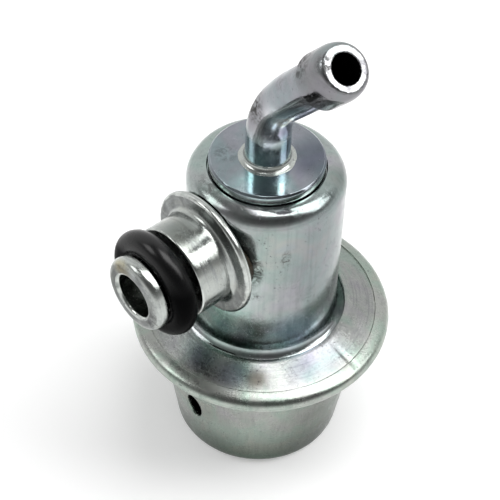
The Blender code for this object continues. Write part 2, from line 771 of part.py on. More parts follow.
def make_plate_retainer(parts):
    """Thin ring over the valve plate's step."""
    section = [
        (RETAINER_HOLE_R, RETAINER_TOP, 0),
        (HOLDER_HEAD_R, RETAINER_TOP, 0),
        (HOLDER_HEAD_R, RETAINER_BOTTOM, 0),
        (RETAINER_HOLE_R, RETAINER_BOTTOM, 0),
    ]
    ring = turned("plate_retainer", section, parts, ROUND_SMALL)
    wear(ring, (0.62, 0.61, 0.57), 0.3, 1.0)
    return ring


def make_valve_ball(parts):
    """Ball on which the valve plate can tip until it lies flat."""
    mesh = bpy.data.meshes.new("valve_ball")
    ball = bmesh.new()
    bmesh.ops.create_uvsphere(
        ball, u_segments=14, v_segments=10, radius=BALL_R * MM)
    ball.to_mesh(mesh)
    ball.free()
    mesh.shade_smooth()
    thing = new_object("valve_ball", mesh, parts)
    thing.location = (0, 0, (BALL_TOP - BALL_R) * MM)
    wear(thing, (0.70, 0.70, 0.70), 0.08, 1.0)
    return thing


def coil(turns, radius, wire_r, low, high, closed_ends, per_turn):
    """Centre line of a compression spring between two flat seats."""
    total = max(8, round(turns * per_turn))
    length = high - low - 2 * wire_r
    points = []
    weights = []
    for i in range(total):
        along = turns * (i + 0.5) / total
        near_end = min(along, turns - along)
        weights.append(0.35 if near_end < closed_ends else 1.0)
    whole = sum(weights)
    done = 0.0
    for i in range(total + 1):
        turn = math.tau * turns * i / total
        height = low + wire_r + length * done / whole
        points.append((radius * math.cos(turn), radius * math.sin(turn), height))
        if i < total:
            done += weights[i]
    return points


def make_springs(parts):
    """The main spring in the cup and the small one under the ball."""
    main = wire("main_spring", coil(
        COIL_TURNS, COIL_R, WIRE_R, SPRING_BOTTOM, SPRING_TOP, 1.0, 11),
        WIRE_R, parts, 2)
    wear(main, (0.45, 0.45, 0.44), 0.35, 1.0)
    low = HOLDER_BOTTOM + HOLDER_FLOOR + REST
    high = BALL_TOP - 2 * BALL_R - REST
    small = wire("ball_spring", coil(
        BALL_TURNS, BALL_COIL_R, BALL_WIRE_R, low, high, 0.5, 10),
        BALL_WIRE_R, parts, 1)
    wear(small, (0.60, 0.60, 0.58), 0.3, 1.0)
    return [main, small]


def clear_scene():
    for thing in list(bpy.data.objects):
        bpy.data.objects.remove(thing)


def main():
    clear_scene()
    scene = bpy.context.scene
    scene.unit_settings.system = "METRIC"
    parts = bpy.data.collections.new("pressure_regulator_valve")
    cutters = bpy.data.collections.new("cutters")
    scene.collection.children.link(parts)
    scene.collection.children.link(cutters)

    make_spring_cup(parts, cutters)
    make_fuel_housing(parts, cutters)
    make_outlet_disc(parts)
    make_return_pipe(parts, cutters)
    make_pipe_braze(parts)
    make_seat_pipe(parts)
    make_inlet_plug(parts)
    make_inlet_brazes(parts, cutters)
    make_sealing_ring(parts)
    make_spring_seat(parts)
    make_diaphragm(parts)

    moving = [
        *make_plates(parts), make_valve_holder(parts), make_valve_plate(parts),
        make_plate_retainer(parts), make_valve_ball(parts)]
    springs = make_springs(parts)
    slide = bpy.data.objects.new("valve_slide", None)
    parts.objects.link(slide)
    for piece in [*moving, springs[1]]:
        piece.parent = slide


if __name__ == "__main__":
    main()
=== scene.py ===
"""Looks of the pressure regulator valve: plated sheet, turned plug, rubber ring, stage and camera."""
import math

import bmesh
import bpy
import numpy as np
from bpy.props import FloatProperty, FloatVectorProperty, PointerProperty
from mathutils import Matrix, Vector


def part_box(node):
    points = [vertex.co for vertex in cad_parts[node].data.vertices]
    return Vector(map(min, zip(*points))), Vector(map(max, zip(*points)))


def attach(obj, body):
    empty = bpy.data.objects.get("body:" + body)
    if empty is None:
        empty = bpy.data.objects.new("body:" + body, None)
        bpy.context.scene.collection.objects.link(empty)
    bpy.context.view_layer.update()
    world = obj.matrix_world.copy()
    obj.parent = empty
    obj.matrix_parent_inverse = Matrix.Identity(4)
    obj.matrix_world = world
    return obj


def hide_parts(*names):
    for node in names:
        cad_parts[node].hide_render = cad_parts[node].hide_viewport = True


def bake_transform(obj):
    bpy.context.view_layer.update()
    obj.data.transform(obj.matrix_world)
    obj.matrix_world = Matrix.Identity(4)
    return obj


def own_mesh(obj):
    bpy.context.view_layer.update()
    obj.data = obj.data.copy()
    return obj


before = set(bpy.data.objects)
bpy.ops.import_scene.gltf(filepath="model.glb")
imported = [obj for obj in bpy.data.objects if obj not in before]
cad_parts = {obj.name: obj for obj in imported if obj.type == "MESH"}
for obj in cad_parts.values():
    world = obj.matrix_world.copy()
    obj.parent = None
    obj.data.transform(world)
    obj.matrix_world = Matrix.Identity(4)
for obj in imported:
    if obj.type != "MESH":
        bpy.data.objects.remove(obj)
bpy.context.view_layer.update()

bl_info = {
    "name": "Pressure regulator valve",
    "version": (1, 0, 0),
    "blender": (4, 5, 0),
    "location": "3D View > Sidebar > Regulator",
    "description": "Builds the plated shells, pipe, plug and ring of a fuel pressure regulator",
    "category": "Object",
}

CUP_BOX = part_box("spring_cup")
HOUSING_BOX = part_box("fuel_housing")
DISC_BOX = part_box("outlet_disc")
PIPE_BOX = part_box("return_pipe")
PLUG_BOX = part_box("inlet_plug")
RING_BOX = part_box("sealing_ring")

# Further sizes, in metres where nothing else is said
VALLEY_DEPTH = 0.0004           # the valley between rim and lip, under the rim's top
SHELF_DROP = 0.0004             # the cup's shelf, under the rim's underside
SHELF_INSET = 0.00103           # from the rim's outside to the shelf's ramp
SHELF_RAMP = 0.0008
CUP_TAPER = 0.14                # growth of the cup's radius for each unit of its height
VENT_TURN = 5                   # degrees from the inlet's direction to the vent
FLANGE_DROP = 0.00085           # the housing's flange, square under the lip's outer side
FLANGE_SHEET = 0.0006
FLANGE_INSET = 0.0012           # from the rim's outside to the flange's edge
BODY_WALL = 0.0015
SEAT_GAP = 0.00018              # round the disc and the collar in their recesses
RECESS_DEPTH = 0.00075          # the disc's recess, under the shoulder's top
DISC_HOLE = 0.00585
DISC_THICKNESS = 0.00195
DISC_CHAMFER = 0.00028
SPIGOT_RADIUS = 0.0056          # the disc's spigot in the housing
SPIGOT_LENGTH = 0.0035
SEAT_PIPE_SOCKET = 0.00385
PIPE_SINK = 0.0020              # the pipe's foot, under the disc's face
MOUTH_RADIUS = 0.00205          # the bore at the pipe's mouth
BEAD_FACE = 0.0028              # outer radius of the bead's flat face
BEAD_NOSE = 0.0025              # length of the bead's rounding towards its face
BEAD_SHOULDER = 0.0006          # length of the rise to the bead
NOSE_LENGTH = 0.0019
GROOVE_LENGTH = 0.0047
GROOVE_RADIUS = 0.0039
COLLAR_THICKNESS = 0.00115
COLLAR_SEAT = 0.00130           # the collar's recess, behind the collar's face
PLUG_SPIGOT_RADIUS = 0.0060
PLUG_SPIGOT_LENGTH = 0.0016
PLUG_HOLE = 0.00625
RING_RADIUS = 0.0060            # centre line of the rubber ring

# The photograph's camera: place, angles in degrees and the level directions of its picture
CAMERA_PLACE = (0.105825, -0.100841, 0.192383)
CAMERA_AZIMUTH = 47.125
CAMERA_ELEVATION = 47.16
CAMERA_ROLL = -2.006
PICTURE_RIGHT = (0.68, 0.73, 0.0)
PICTURE_AWAY = (-0.73, 0.68, 0.0)


def length(name, description, default):
    """One length of the object, in metres."""
    return FloatProperty(
        name=name, description=description, default=default, unit="LENGTH",
        precision=5, min=0.0)


def tone(name, description, default):
    """One linear colour of a finish."""
    return FloatVectorProperty(
        name=name, description=description, default=default, subtype="COLOR",
        size=3, min=0.0, max=1.0)


def share(name, description, default, most=1.0):
    """One plain number between nothing and a most."""
    return FloatProperty(
        name=name, description=description, default=default, min=0.0, max=most)


class CupSizes(bpy.types.PropertyGroup):
    """Sizes of the drawn cup and its rolled rim."""
    rim_radius: length("Rim radius", "Outside of the rolled rim", CUP_BOX[1].x)
    rim_bottom: length("Rim underside", "Height of the rim's underside", 0.0216)
    rim_height: length("Rim height", "Height of the rolled bead", 0.0025)
    valley_radius: length("Valley radius", "Where the rim meets the lip", 0.01671)
    lip_radius: length("Lip radius", "Free inner edge of the lip", 0.0124)
    lip_slope: share("Lip slope", "Rise towards the housing over the way in", 0.4, 2.0)
    mouth_radius: length("Mouth radius", "Wall radius under the rim", 0.015468)
    sheet: length("Sheet", "Thickness of the cup's sheet", 0.00065)
    vent_width: length("Vent half width", "Oval hole in the cup's wall", 0.0014)
    vent_drop: length("Vent half height", "Oval hole in the cup's wall", 0.00265)
    vent_height: length("Vent height", "Height of the vent's centre", 0.0112)


class HousingSizes(bpy.types.PropertyGroup):
    """Sizes of the fuel housing and the disc in its top."""
    body_radius: length("Body radius", "Outside of the round wall", 0.011)
    body_top: length("Body top", "Height of the shoulder's top", HOUSING_BOX[1].z)
    shoulder: length("Shoulder", "Rounding of the shoulder", 0.0029)
    disc_radius: length("Disc radius", "Outside of the disc", DISC_BOX[1].x)
    disc_top: length("Disc top", "Height of the disc's face", DISC_BOX[1].z)


class PipeSizes(bpy.types.PropertyGroup):
    """Sizes of the bent return pipe."""
    radius: length("Pipe radius", "Outside of the pipe", 0.0031)
    bore: length("Bore radius", "Inside of the pipe", 0.00235)
    rise: length("Rise", "Straight length above the disc", 0.00488)
    bend: length("Bend radius", "Radius of the bend's centre line", 0.0105)
    angle: share("Bend angle", "Turn of the bend in degrees", 41.1, 120.0)
    flat: length("Flattening", "How far the bend's outer side is pulled in", 0.00055)
    bead: length("Bead radius", "Outside of the hose bead", PIPE_BOX[1].y)
    bead_length: length("Bead length", "From the mouth to the bead's rear edge", 0.00565)
    reach: length("Reach", "Straight length after the bend", 0.01583)


class PlugSizes(bpy.types.PropertyGroup):
    """Sizes of the inlet plug and its ring."""
    height: length("Plug height", "Height of the plug's axis", 0.0421)
    nose_face: length("Nose face", "Distance of the nose from the axis", -PLUG_BOX[0].y)
    nose_radius: length("Nose radius", "Outside of the nose", 0.00547)
    shank_radius: length("Shank radius", "Outside of the shank", 0.00674)
    collar_radius: length("Collar radius", "Outside of the collar", PLUG_BOX[1].x)
    collar_face: length("Collar face", "Distance of the collar's face", 0.0115)
    bore: length("Plug bore", "Radius of the fuel inlet", 0.00316)
    ring_section: length("Ring section", "Radius of the rubber's section", 0.00185)


class InnerSizes(bpy.types.PropertyGroup):
    """Sizes of the diaphragm and the main spring, which give way to the valve."""
    hole: length("Diaphragm hole", "Radius of the hole for the valve holder", 0.00265)
    loop_in: length("Loop inside", "Radius where the rubber turns down", 0.009898)
    loop_out: length("Loop outside", "Radius where the loop meets the edge", 0.013898)
    loop_depth: length("Loop depth", "How far the loop hangs down", 0.0022)
    sheet: length("Rubber sheet", "Thickness of the diaphragm", 0.0004)
    middle: length("Middle", "Height of the middle's upper side", 0.0226)
    clamp_radius: length("Clamp radius", "Inside of the clamped edge", 0.014498)
    clamp_top: length("Clamp top", "Height of the clamped edge at its inside", 0.022807)
    edge_radius: length("Edge radius", "Outside of the diaphragm", 0.015898)
    edge_top: length("Edge top", "Height of the diaphragm's outer edge", 0.022247)
    seat: length("Seat", "Height of the clamped edge's underside", 0.02205)
    coil: length("Coil", "Radius of the spring's centre line", 0.007598)
    wire: length("Spring wire", "Radius of the spring's wire", 0.0009)
    turns: share("Spring turns", "Turns of the main spring", 6.0, 20.0)
    spring_foot: length("Spring foot", "Height of the spring's lower end", 0.00195)
    spring_top: length("Spring top", "Height of the spring's upper end", 0.0209)
    travel: length("Valve travel", "How far the valve opens", 0.001)


class Finishes(bpy.types.PropertyGroup):
    """Colours of the plated steel, the braze and the rubber."""
    cup: tone("Cup zinc", "Satin zinc of the cup", (0.37, 0.39, 0.36))
    body: tone("Body zinc", "Bright zinc of the housing", (0.38, 0.405, 0.40))
    disc: tone("Disc zinc", "Blue zinc of the disc", (0.29, 0.31, 0.335))
    pipe: tone("Pipe zinc", "Violet zinc of the pipe", (0.48, 0.49, 0.50))
    plug: tone("Plug zinc", "Pale zinc of the plug", (0.47, 0.49, 0.47))
    braze: tone("Braze", "Dark braze and flux stain", (0.035, 0.028, 0.020))
    rubber: tone("Rubber", "Black rubber", (0.0018, 0.0019, 0.0021))
    # Wear also sets the strength of the painted shade in the corners.
    wear_and_shade: share("Wear", "How strong marks and scratches are", 1.0, 2.0)


class StageSettings(bpy.types.PropertyGroup):
    """Floor, lamps and camera."""
    floor: tone("Floor", "Colour of the floor", (0.86, 0.86, 0.86))
    overhead: share("Overhead lamp", "Power of the overhead lamp in watts", 2.1, 50.0)
    key: share("Key lamp", "Power of the soft lamp behind on the right in watts", 1.5, 50.0)
    fill: share("Fill lamp", "Power of the soft lamp on the left in watts", 0.8, 50.0)
    lens: FloatProperty(
        name="Lens", description="Focal length of the camera in millimetres",
        default=108.0, min=20.0, max=400.0)


# Shapes

def rounded_outline(corners, steps=8, closed=True):
    """Outline through corners of (radius, height, rounding).  Each rounded corner is an arc that
    touches both of its sides: centre = corner + bisector * rounding / sin(half angle)."""
    line = []
    count = len(corners)
    for i, (r, z, rounding) in enumerate(corners):
        here = np.array((r, z))
        if rounding <= 0 or (not closed and i in (0, count - 1)):
            line.append(here[None])
            continue
        back = np.array(corners[i - 1][:2]) - here
        ahead = np.array(corners[(i + 1) % count][:2]) - here
        back_length, ahead_length = np.hypot(*back), np.hypot(*ahead)
        back, ahead = back / back_length, ahead / ahead_length
        half = math.acos(np.clip(back @ ahead, -1, 1)) / 2
        spare = [0.49 if corners[j % count][2] > 0.00015 else 0.95 for j in (i - 1, i + 1)]
        reach = min(
            rounding / math.tan(half), spare[0] * back_length, spare[1] * ahead_length)
        rounding = reach * math.tan(half)
        middle = back + ahead
        centre = here + middle / np.hypot(*middle) * rounding / math.sin(half)
        start, end = here + back * reach - centre, here + ahead * reach - centre
        first = math.atan2(start[1], start[0])
        sweep = math.atan2(end[1], end[0]) - first
        sweep = (sweep + math.pi) % math.tau - math.pi
        angle = first + sweep * np.linspace(0, 1, steps + 1)
        line.append(centre + rounding * np.stack([np.cos(angle), np.sin(angle)], axis=1))
    return np.concatenate(line)


def with_spacing(line, spacing, closed=True):
    """The same outline with points added so that no side is longer than the spacing."""
    if closed:
        line = np.concatenate([line, line[:1]])
    sides = np.hypot(*np.diff(line, axis=0).T)
    keep = sides > 1e-9
    line = np.concatenate([line[:1], line[1:][keep]])
    sides = sides[keep]
    parts = np.maximum(1, np.ceil(sides / spacing - 1e-6)).astype(int)
    side = np.repeat(np.arange(len(parts)), parts)
    step = np.arange(parts.sum()) - np.repeat(np.cumsum(parts) - parts, parts)
    share_of_side = (step / parts[side])[:, None]
    points = line[side] * (1 - share_of_side) + line[side + 1] * share_of_side
    return points if closed else np.concatenate([points, line[-1:]])


def sharpness(line, closed=True):
    """Turning of an outline at each point over the length there: positive on outward edges."""
    before = line - np.roll(line, 1, axis=0)
    after = np.roll(line, -1, axis=0) - line
    size = np.hypot(*before.T) * np.hypot(*after.T) + 1e-12
    turning = -(before[:, 0] * after[:, 1] - before[:, 1] * after[:, 0]) / size
    if not closed:
        turning[0] = turning[-1] = 0
    return turning / (0.5 * (np.hypot(*before.T) + np.hypot(*after.T)) + 1e-6)


def edge_traits(line, closed=True, scale=0.0006, side=1):
    """Where an outline is worn, on its outward edges, and where shade is painted, in its corners."""
    bend = sharpness(line, closed) * scale * side
    return {"worn": np.clip(bend, 0, 1), "corner_shade": np.clip(-bend, 0, 1)}


def turned_about_z(line, columns):
    """Grid of an outline turned about Z: x = r cos a, y = r sin a, z = h."""
    angle = np.arange(columns) * math.tau / columns
    radius, height = line[:, :1], line[:, 1:]
    return np.stack([
        radius * np.cos(angle), radius * np.sin(angle),
        np.broadcast_to(height, (len(line), columns))], axis=-1)


def turned_about_inlet(line, columns, height):
    """Grid of an outline turned about the inlet's axis: x = r cos a, y = -distance,
    z = axis height + r sin a."""
    grid = turned_about_z(line, columns)
    return np.stack([grid[..., 0], -grid[..., 2], height + grid[..., 1]], axis=-1)


def ripple(angle, along, seed, amount, waves=9):
    """Shallow unevenness: a sum of sines round the axis and along the outline, each with its own
    turns, pitch and phase."""
    rng = np.random.default_rng(seed)
    turns = rng.integers(2, 17, waves)
    pitch = rng.uniform(150, 900, waves)
    phase = rng.uniform(0, math.tau, waves)
    total = sum(
        np.sin(turns[k] * angle + pitch[k] * along + phase[k]) / (1 + 0.2 * turns[k])
        for k in range(waves))
    return amount * total / math.sqrt(waves)


def bump_at(value, centre, width):
    """Smooth hump of height one: exp(-(distance / width) squared)."""
    return np.exp(-((value - centre) / width) ** 2)


def make_surface(name, grid, loop_rows=False, keep=None, flip=False, traits=None):
    """Mesh object from a grid of points: columns always close into rings, rows where asked.
    Quads join neighbours in the grid, points on the axis become one.  Each trait is one number
    for each row, which the material reads."""
    rows, columns = grid.shape[:2]
    index = np.arange(rows * columns).reshape(rows, columns)
    index = np.concatenate([index, index[:, :1]], axis=1)
    if loop_rows:
        index = np.concatenate([index, index[:1]])
    quads = np.stack(
        [index[:-1, :-1], index[1:, :-1], index[1:, 1:], index[:-1, 1:]], axis=-1)
    if flip:
        quads = quads[..., ::-1]
    quads = quads.reshape(-1, 4) if keep is None else quads[keep]
    mesh = bpy.data.meshes.new(name)
    mesh.vertices.add(rows * columns)
    mesh.vertices.foreach_set("co", grid.reshape(-1).astype(np.float32))
    mesh.loops.add(quads.size)
    mesh.loops.foreach_set("vertex_index", quads.reshape(-1).astype(np.int32))
    mesh.polygons.add(len(quads))
    mesh.polygons.foreach_set("loop_start", np.arange(0, quads.size, 4, dtype=np.int32))
    mesh.update(calc_edges=True)
    for trait, values in (traits or {}).items():
        layer = mesh.attributes.new(trait, "FLOAT", "POINT")
        layer.data.foreach_set("value", np.repeat(values, columns).astype(np.float32))
    shell = bmesh.new()
    shell.from_mesh(mesh)
    bmesh.ops.remove_doubles(shell, verts=shell.verts, dist=1e-7)
    loose = [v for v in shell.verts if not v.link_faces]
    bmesh.ops.delete(shell, geom=loose, context="VERTS")
    shell.to_mesh(mesh)
    shell.free()
    mesh.shade_smooth()
    piece = bpy.data.objects.new(name, mesh)
    bpy.context.scene.collection.objects.link(piece)
    return piece


def settle(piece):
    """Replaces the piece's mesh by what its modifiers make of it."""
    graph = bpy.context.evaluated_depsgraph_get()
    mesh = bpy.data.meshes.new_from_object(piece.evaluated_get(graph))
    piece.modifiers.clear()
    piece.data = mesh
    mesh.set_sharp_from_angle(angle=math.radians(40))


def round_edges(piece, width, steps, chosen):
    """Rounds the piece's square edges whose middle is chosen."""
    mesh = bmesh.new()
    mesh.from_mesh(piece.data)
    square = [
        edge for edge in mesh.edges
        if len(edge.link_faces) == 2 and edge.calc_face_angle() > math.radians(60)
        and chosen((edge.verts[0].co + edge.verts[1].co) / 2)]
    bmesh.ops.bevel(
        mesh, geom=square, offset=width, segments=steps, profile=0.5, affect="EDGES",
        clamp_overlap=True)
    for face in mesh.faces:
        face.smooth = True
    mesh.to_mesh(piece.data)
    mesh.free()
    piece.data.set_sharp_from_angle(angle=math.radians(40))


def cut_away(piece, cutter):
    """Takes the cutter's room out of the piece."""
    boolean = piece.modifiers.new("Cut", "BOOLEAN")
    boolean.operation = "DIFFERENCE"
    boolean.solver = "EXACT"
    boolean.object = cutter
    settle(piece)
    bpy.data.objects.remove(cutter)


def finish_piece(piece, node, body, material):
    """Gives a piece its material and the body it rides on, and hides the CAD node it stands for.
    A piece that bends between two bodies rides on none."""
    piece.data.materials.clear()
    piece.data.materials.append(material)
    if body:
        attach(piece, body)
    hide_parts(node)


# Materials

def add_node(tree, kind, inputs=None, **settings):
    """A shader node with its settings, and its sockets linked or set."""
    made = tree.nodes.new(kind)
    for key, value in settings.items():
        setattr(made, key, value)
    for key, value in (inputs or {}).items():
        if isinstance(value, bpy.types.NodeSocket):
            tree.links.new(value, made.inputs[key])
        else:
            made.inputs[key].default_value = value
    return made


def calc(tree, operation, first, second=0.0, third=0.0, clamp=False):
    """One step of arithmetic in a shader."""
    return add_node(
        tree, "ShaderNodeMath", {0: first, 1: second, 2: third},
        operation=operation, use_clamp=clamp).outputs[0]


def ramp(tree, value, stops):
    """Colour ramp with (place, colour) stops, where a single number is a grey."""
    made = add_node(tree, "ShaderNodeValToRGB", {0: value})
    while len(made.color_ramp.elements) < len(stops):
        made.color_ramp.elements.new(0.5)
    for element, (place, shade) in zip(made.color_ramp.elements, stops):
        element.position = place
        element.color = (*shade, 1.0) if isinstance(shade, tuple) else (shade,) * 3 + (1.0,)
    return made.outputs[0]


def noise(tree, place, scale, detail=2.0, rough=0.5, stretch=None, turn=None, distortion=0.0):
    """Noise between nothing and one on object coordinates, stretched or turned where asked."""
    if stretch is not None or turn is not None:
        place = add_node(tree, "ShaderNodeMapping", {
            "Vector": place, "Scale": stretch or (1, 1, 1),
            "Rotation": turn or (0, 0, 0)}).outputs[0]
    return add_node(tree, "ShaderNodeTexNoise", {
        "Vector": place, "Scale": scale, "Detail": detail, "Roughness": rough,
        "Distortion": distortion}).outputs[0]


def between(tree, value, low, high):
    """Nothing at low and one at high, smooth between, also where low is the larger."""
    return add_node(
        tree, "ShaderNodeMapRange", {
            "Value": value, "From Min": low, "From Max": high},
        interpolation_type="SMOOTHSTEP").outputs[0]


def mix(tree, share_of_second, first, second, way="MIX"):
    """Blend of two colours."""
    return add_node(
        tree, "ShaderNodeMix", {0: share_of_second, 6: first, 7: second},
        data_type="RGBA", blend_type=way, clamp_factor=True).outputs[2]


def colour(values):
    """Three values as an opaque colour."""
    return (values[0], values[1], values[2], 1.0)


def near(tree, place, centre, size):
    """One at a centre, falling to nothing at a size away along each axis."""
    shifted = add_node(tree, "ShaderNodeMapping", {
        "Vector": place,
        "Location": tuple(-c / s for c, s in zip(centre, size)),
        "Scale": tuple(1 / s for s in size)}).outputs[0]
    far = add_node(tree, "ShaderNodeVectorMath", {0: shifted}, operation="LENGTH").outputs[1]
    return between(tree, far, 1.0, 0.25)


def trait(tree, name):
    """A trait of the surface, as make_surface stored it."""
    return add_node(tree, "ShaderNodeAttribute", attribute_name=name).outputs["Fac"]


def new_material(name):
    """A material with its node tree, its shader and the object's own coordinates."""
    material = bpy.data.materials.new(name)
    material.use_nodes = True
    tree = material.node_tree
    place = add_node(tree, "ShaderNodeTexCoord").outputs["Object"]
    return material, tree, tree.nodes["Principled BSDF"], place


def set_surface(tree, shader, base_colour, rough, relief, strength, distance):
    """Links a shader's colour and roughness, and its relief with the relief's strength."""
    raised = add_node(tree, "ShaderNodeBump", {
        "Strength": strength, "Distance": distance, "Height": relief}).outputs[0]
    tree.links.new(base_colour, shader.inputs["Base Color"])
    tree.links.new(rough, shader.inputs["Roughness"])
    tree.links.new(raised, shader.inputs["Normal"])


def stain_and_shadow_ring(tree, place, level, radius, width, strength):
    """Torn ring round the inlet's axis on its side of the object, fading out below: a stain with the
    collar's painted shadow.
    """
    side = add_node(tree, "ShaderNodeSeparateXYZ", {0: place}).outputs
    up = calc(tree, "SUBTRACT", side[2], level)
    away = calc(tree, "SQRT", calc(
        tree, "ADD", calc(tree, "MULTIPLY", side[0], side[0]), calc(tree, "MULTIPLY", up, up)))
    ring = calc(tree, "ABSOLUTE", calc(tree, "SUBTRACT", away, radius))
    ring = between(tree, ring, width, width * 0.3)
    ring = calc(tree, "MULTIPLY", ring, between(tree, side[1], -0.0015, -0.0040))
    upper = calc(tree, "MULTIPLY_ADD", side[0], 0.35, up)
    ring = calc(tree, "MULTIPLY", ring, between(tree, upper, -0.0030, 0.0035))
    torn = between(tree, noise(tree, place, 620, 5, 0.7, distortion=0.8), 0.36, 0.56)
    return calc(tree, "MULTIPLY", ring, calc(tree, "MULTIPLY", torn, strength), clamp=True)


def cutting_marks(tree, place, axis, centre):
    """Fine rings of the turning round an axis: noise on radius, way along and a little angle."""
    moved = add_node(tree, "ShaderNodeMapping", {
        "Vector": place, "Location": tuple(-v for v in centre)}).outputs[0]
    part = add_node(tree, "ShaderNodeSeparateXYZ", {0: moved}).outputs
    across = [part[k] for k in range(3) if k != axis]
    radial = calc(tree, "SQRT", calc(tree, "ADD", *[
        calc(tree, "MULTIPLY", value, value) for value in across]))
    swing = calc(tree, "MULTIPLY", calc(tree, "ARCTAN2", *across), 0.0006)
    rings = add_node(tree, "ShaderNodeCombineXYZ", {
        0: radial, 1: part[axis], 2: swing}).outputs[0]
    return noise(tree, rings, 2600, 3, 0.65)


def zinc(name, base, rough, tints, streak=None, turning=None, marks=(), painted_light_and_stains=(), wear_and_shade=1.0,
         flecks=1.0, ripples=1.0, faced=(1.0, 0.0), cloudy=0.30, collar_stain_and_shadow=None):
    """Plated steel: drifting tints of the passivation, cloudy roughness, drawing or turning
    lines, fine pits, thin scratches, brighter worn edges, painted shade in the concave corners
    and dark torn marks, partly soil and partly painted shade.  Streak is the scale of the drawing
    lines.  Turning is (axis, centre, depth), and on drawn sheet the trait faced takes the place
    of the depth.  An entry of painted light and stains is (centre, reach along each axis, colour
    factor, strength): painted highlights and reflections where the factor is above one, painted
    shade where it is below, with a real stain among them; a mark is (centre, reach, strength).
    Faced is what the trait of that name multiplies the colour by and adds to the roughness; its
    colour factor is painted shade on those faces.  The collar ring is a ring of stain and
    painted shadow round the inlet's axis: (height, radius, width, strength)."""
    material, tree, shader, place = new_material(name)

    tint = ramp(tree, noise(tree, place, 125, 3, 0.55, distortion=0.6), tints)
    cloud = noise(tree, place, 330, 5, 0.6, distortion=0.3)
    patch = between(tree, cloud, 0.36, 0.66)
    base_colour = mix(tree, 1.0, tint, colour(base), "MULTIPLY")
    base_colour = mix(tree, calc(tree, "MULTIPLY", patch, cloudy), base_colour,
                      colour([0.62 * v for v in base]))
    # Spots of painted light and stains: a factor above one paints a highlight, a factor below one
    # paints shade.
    for centre, size, spot_factor, strength in painted_light_and_stains:
        spot = calc(tree, "MULTIPLY", near(tree, place, centre, size), strength)
        base_colour = mix(tree, spot, base_colour, colour(spot_factor), "MULTIPLY")

    fine = noise(tree, place, 2600, 3, 0.6)
    pits = between(tree, fine, 0.63, 0.71)
    where = between(tree, noise(tree, place, 210, 2, 0.5), 0.45, 0.62)
    pits = calc(tree, "MULTIPLY", pits, calc(tree, "MULTIPLY_ADD", where, 0.8, 0.1), clamp=True)
    pits = calc(tree, "MULTIPLY", pits, flecks * wear_and_shade, clamp=True)

    wide = noise(tree, place, 260, 2, 0.5, stretch=(1, 9, 1), turn=(0.7, 0.4, 0.9))
    thin = noise(tree, place, 300, 2, 0.5, stretch=(7, 1, 1.4), turn=(0.2, 1.1, 0.3))
    lines = calc(tree, "ABSOLUTE", calc(tree, "SUBTRACT", wide, 0.5))
    lines = between(tree, lines, 0.006, 0.0)
    more = calc(tree, "ABSOLUTE", calc(tree, "SUBTRACT", thin, 0.47))
    more = between(tree, more, 0.005, 0.0)
    scratched = between(tree, noise(tree, place, 170, 2, 0.5), 0.52, 0.66)
    scratch = calc(tree, "MULTIPLY", calc(tree, "MAXIMUM", lines, more), scratched)
    scratch = calc(tree, "MULTIPLY", scratch, 0.6 * wear_and_shade, clamp=True)

    ragged = noise(tree, place, 700, 4, 0.6)
    worn = calc(tree, "MULTIPLY", between(tree, trait(tree, "worn"), 0.15, 0.9),
                between(tree, ragged, 0.35, 0.6), clamp=True)
    # Painted shade in the concave corners.
    corner_shade = calc(tree, "MULTIPLY", between(tree, trait(tree, "corner_shade"), 0.72, 1.0),
                between(tree, ragged, 0.30, 0.62), clamp=True)

    # Dark torn marks, partly soil and partly painted shade, and the collar ring of stain and painted
    # shadow.
    torn = between(tree, noise(tree, place, 1300, 5, 0.7, distortion=0.8), 0.42, 0.58)
    dark_spots = [
        calc(tree, "MULTIPLY", near(tree, place, centre, size),
             calc(tree, "MULTIPLY", torn, strength), clamp=True)
        for centre, size, strength in marks]
    if collar_stain_and_shadow is not None:
        dark_spots.append(stain_and_shadow_ring(tree, place, *collar_stain_and_shadow))
    soil_and_shade = 0.0
    for spot in dark_spots:
        soil_and_shade = calc(tree, "MAXIMUM", soil_and_shade, spot)

    haze = calc(tree, "MULTIPLY_ADD", patch, 0.53 * cloudy, rough - 0.16 * cloudy)
    relief = calc(tree, "MULTIPLY", noise(tree, place, 420, 3, 0.55), 0.9 * ripples)
    if streak is not None:
        drawn = noise(tree, place, streak, 4, 0.62, stretch=(1, 1, 0.03))
        relief = calc(tree, "MULTIPLY_ADD", drawn, 0.30, relief)
        haze = calc(tree, "MULTIPLY_ADD", drawn, 0.08, calc(tree, "SUBTRACT", haze, 0.04))
        base_colour = mix(tree, between(tree, drawn, 0.54, 0.34), base_colour,
                          (0.88, 0.89, 0.89, 1), "MULTIPLY")
    if turning is not None:
        axis, centre, depth = turning
        cutmarks = cutting_marks(tree, place, axis, centre)
        amount = depth if streak is None else trait(tree, "faced")
        relief = calc(tree, "MULTIPLY_ADD", calc(tree, "MULTIPLY", cutmarks, amount), 0.6, relief)
        haze = calc(tree, "MULTIPLY_ADD", cutmarks, 0.10, calc(tree, "SUBTRACT", haze, 0.05))
        shade = calc(tree, "MULTIPLY", between(tree, cutmarks, 0.50, 0.34), amount)
        base_colour = mix(tree, shade, base_colour, (0.84, 0.84, 0.86, 1), "MULTIPLY")
    # The faced zone's colour factor is painted shade, mottled.
    if faced != (1.0, 0.0):
        zone = trait(tree, "faced")
        mottle = between(tree, noise(tree, place, 520, 5, 0.65, distortion=0.5), 0.38, 0.62)
        mottle = calc(tree, "MULTIPLY_ADD", mottle, 0.35, 0.65)
        base_colour = mix(
            tree, calc(tree, "MULTIPLY", zone, mottle), base_colour,
            (faced[0], faced[0], faced[0] * 1.03, 1), "MULTIPLY")
        haze = calc(tree, "MULTIPLY_ADD", zone, faced[1], haze)

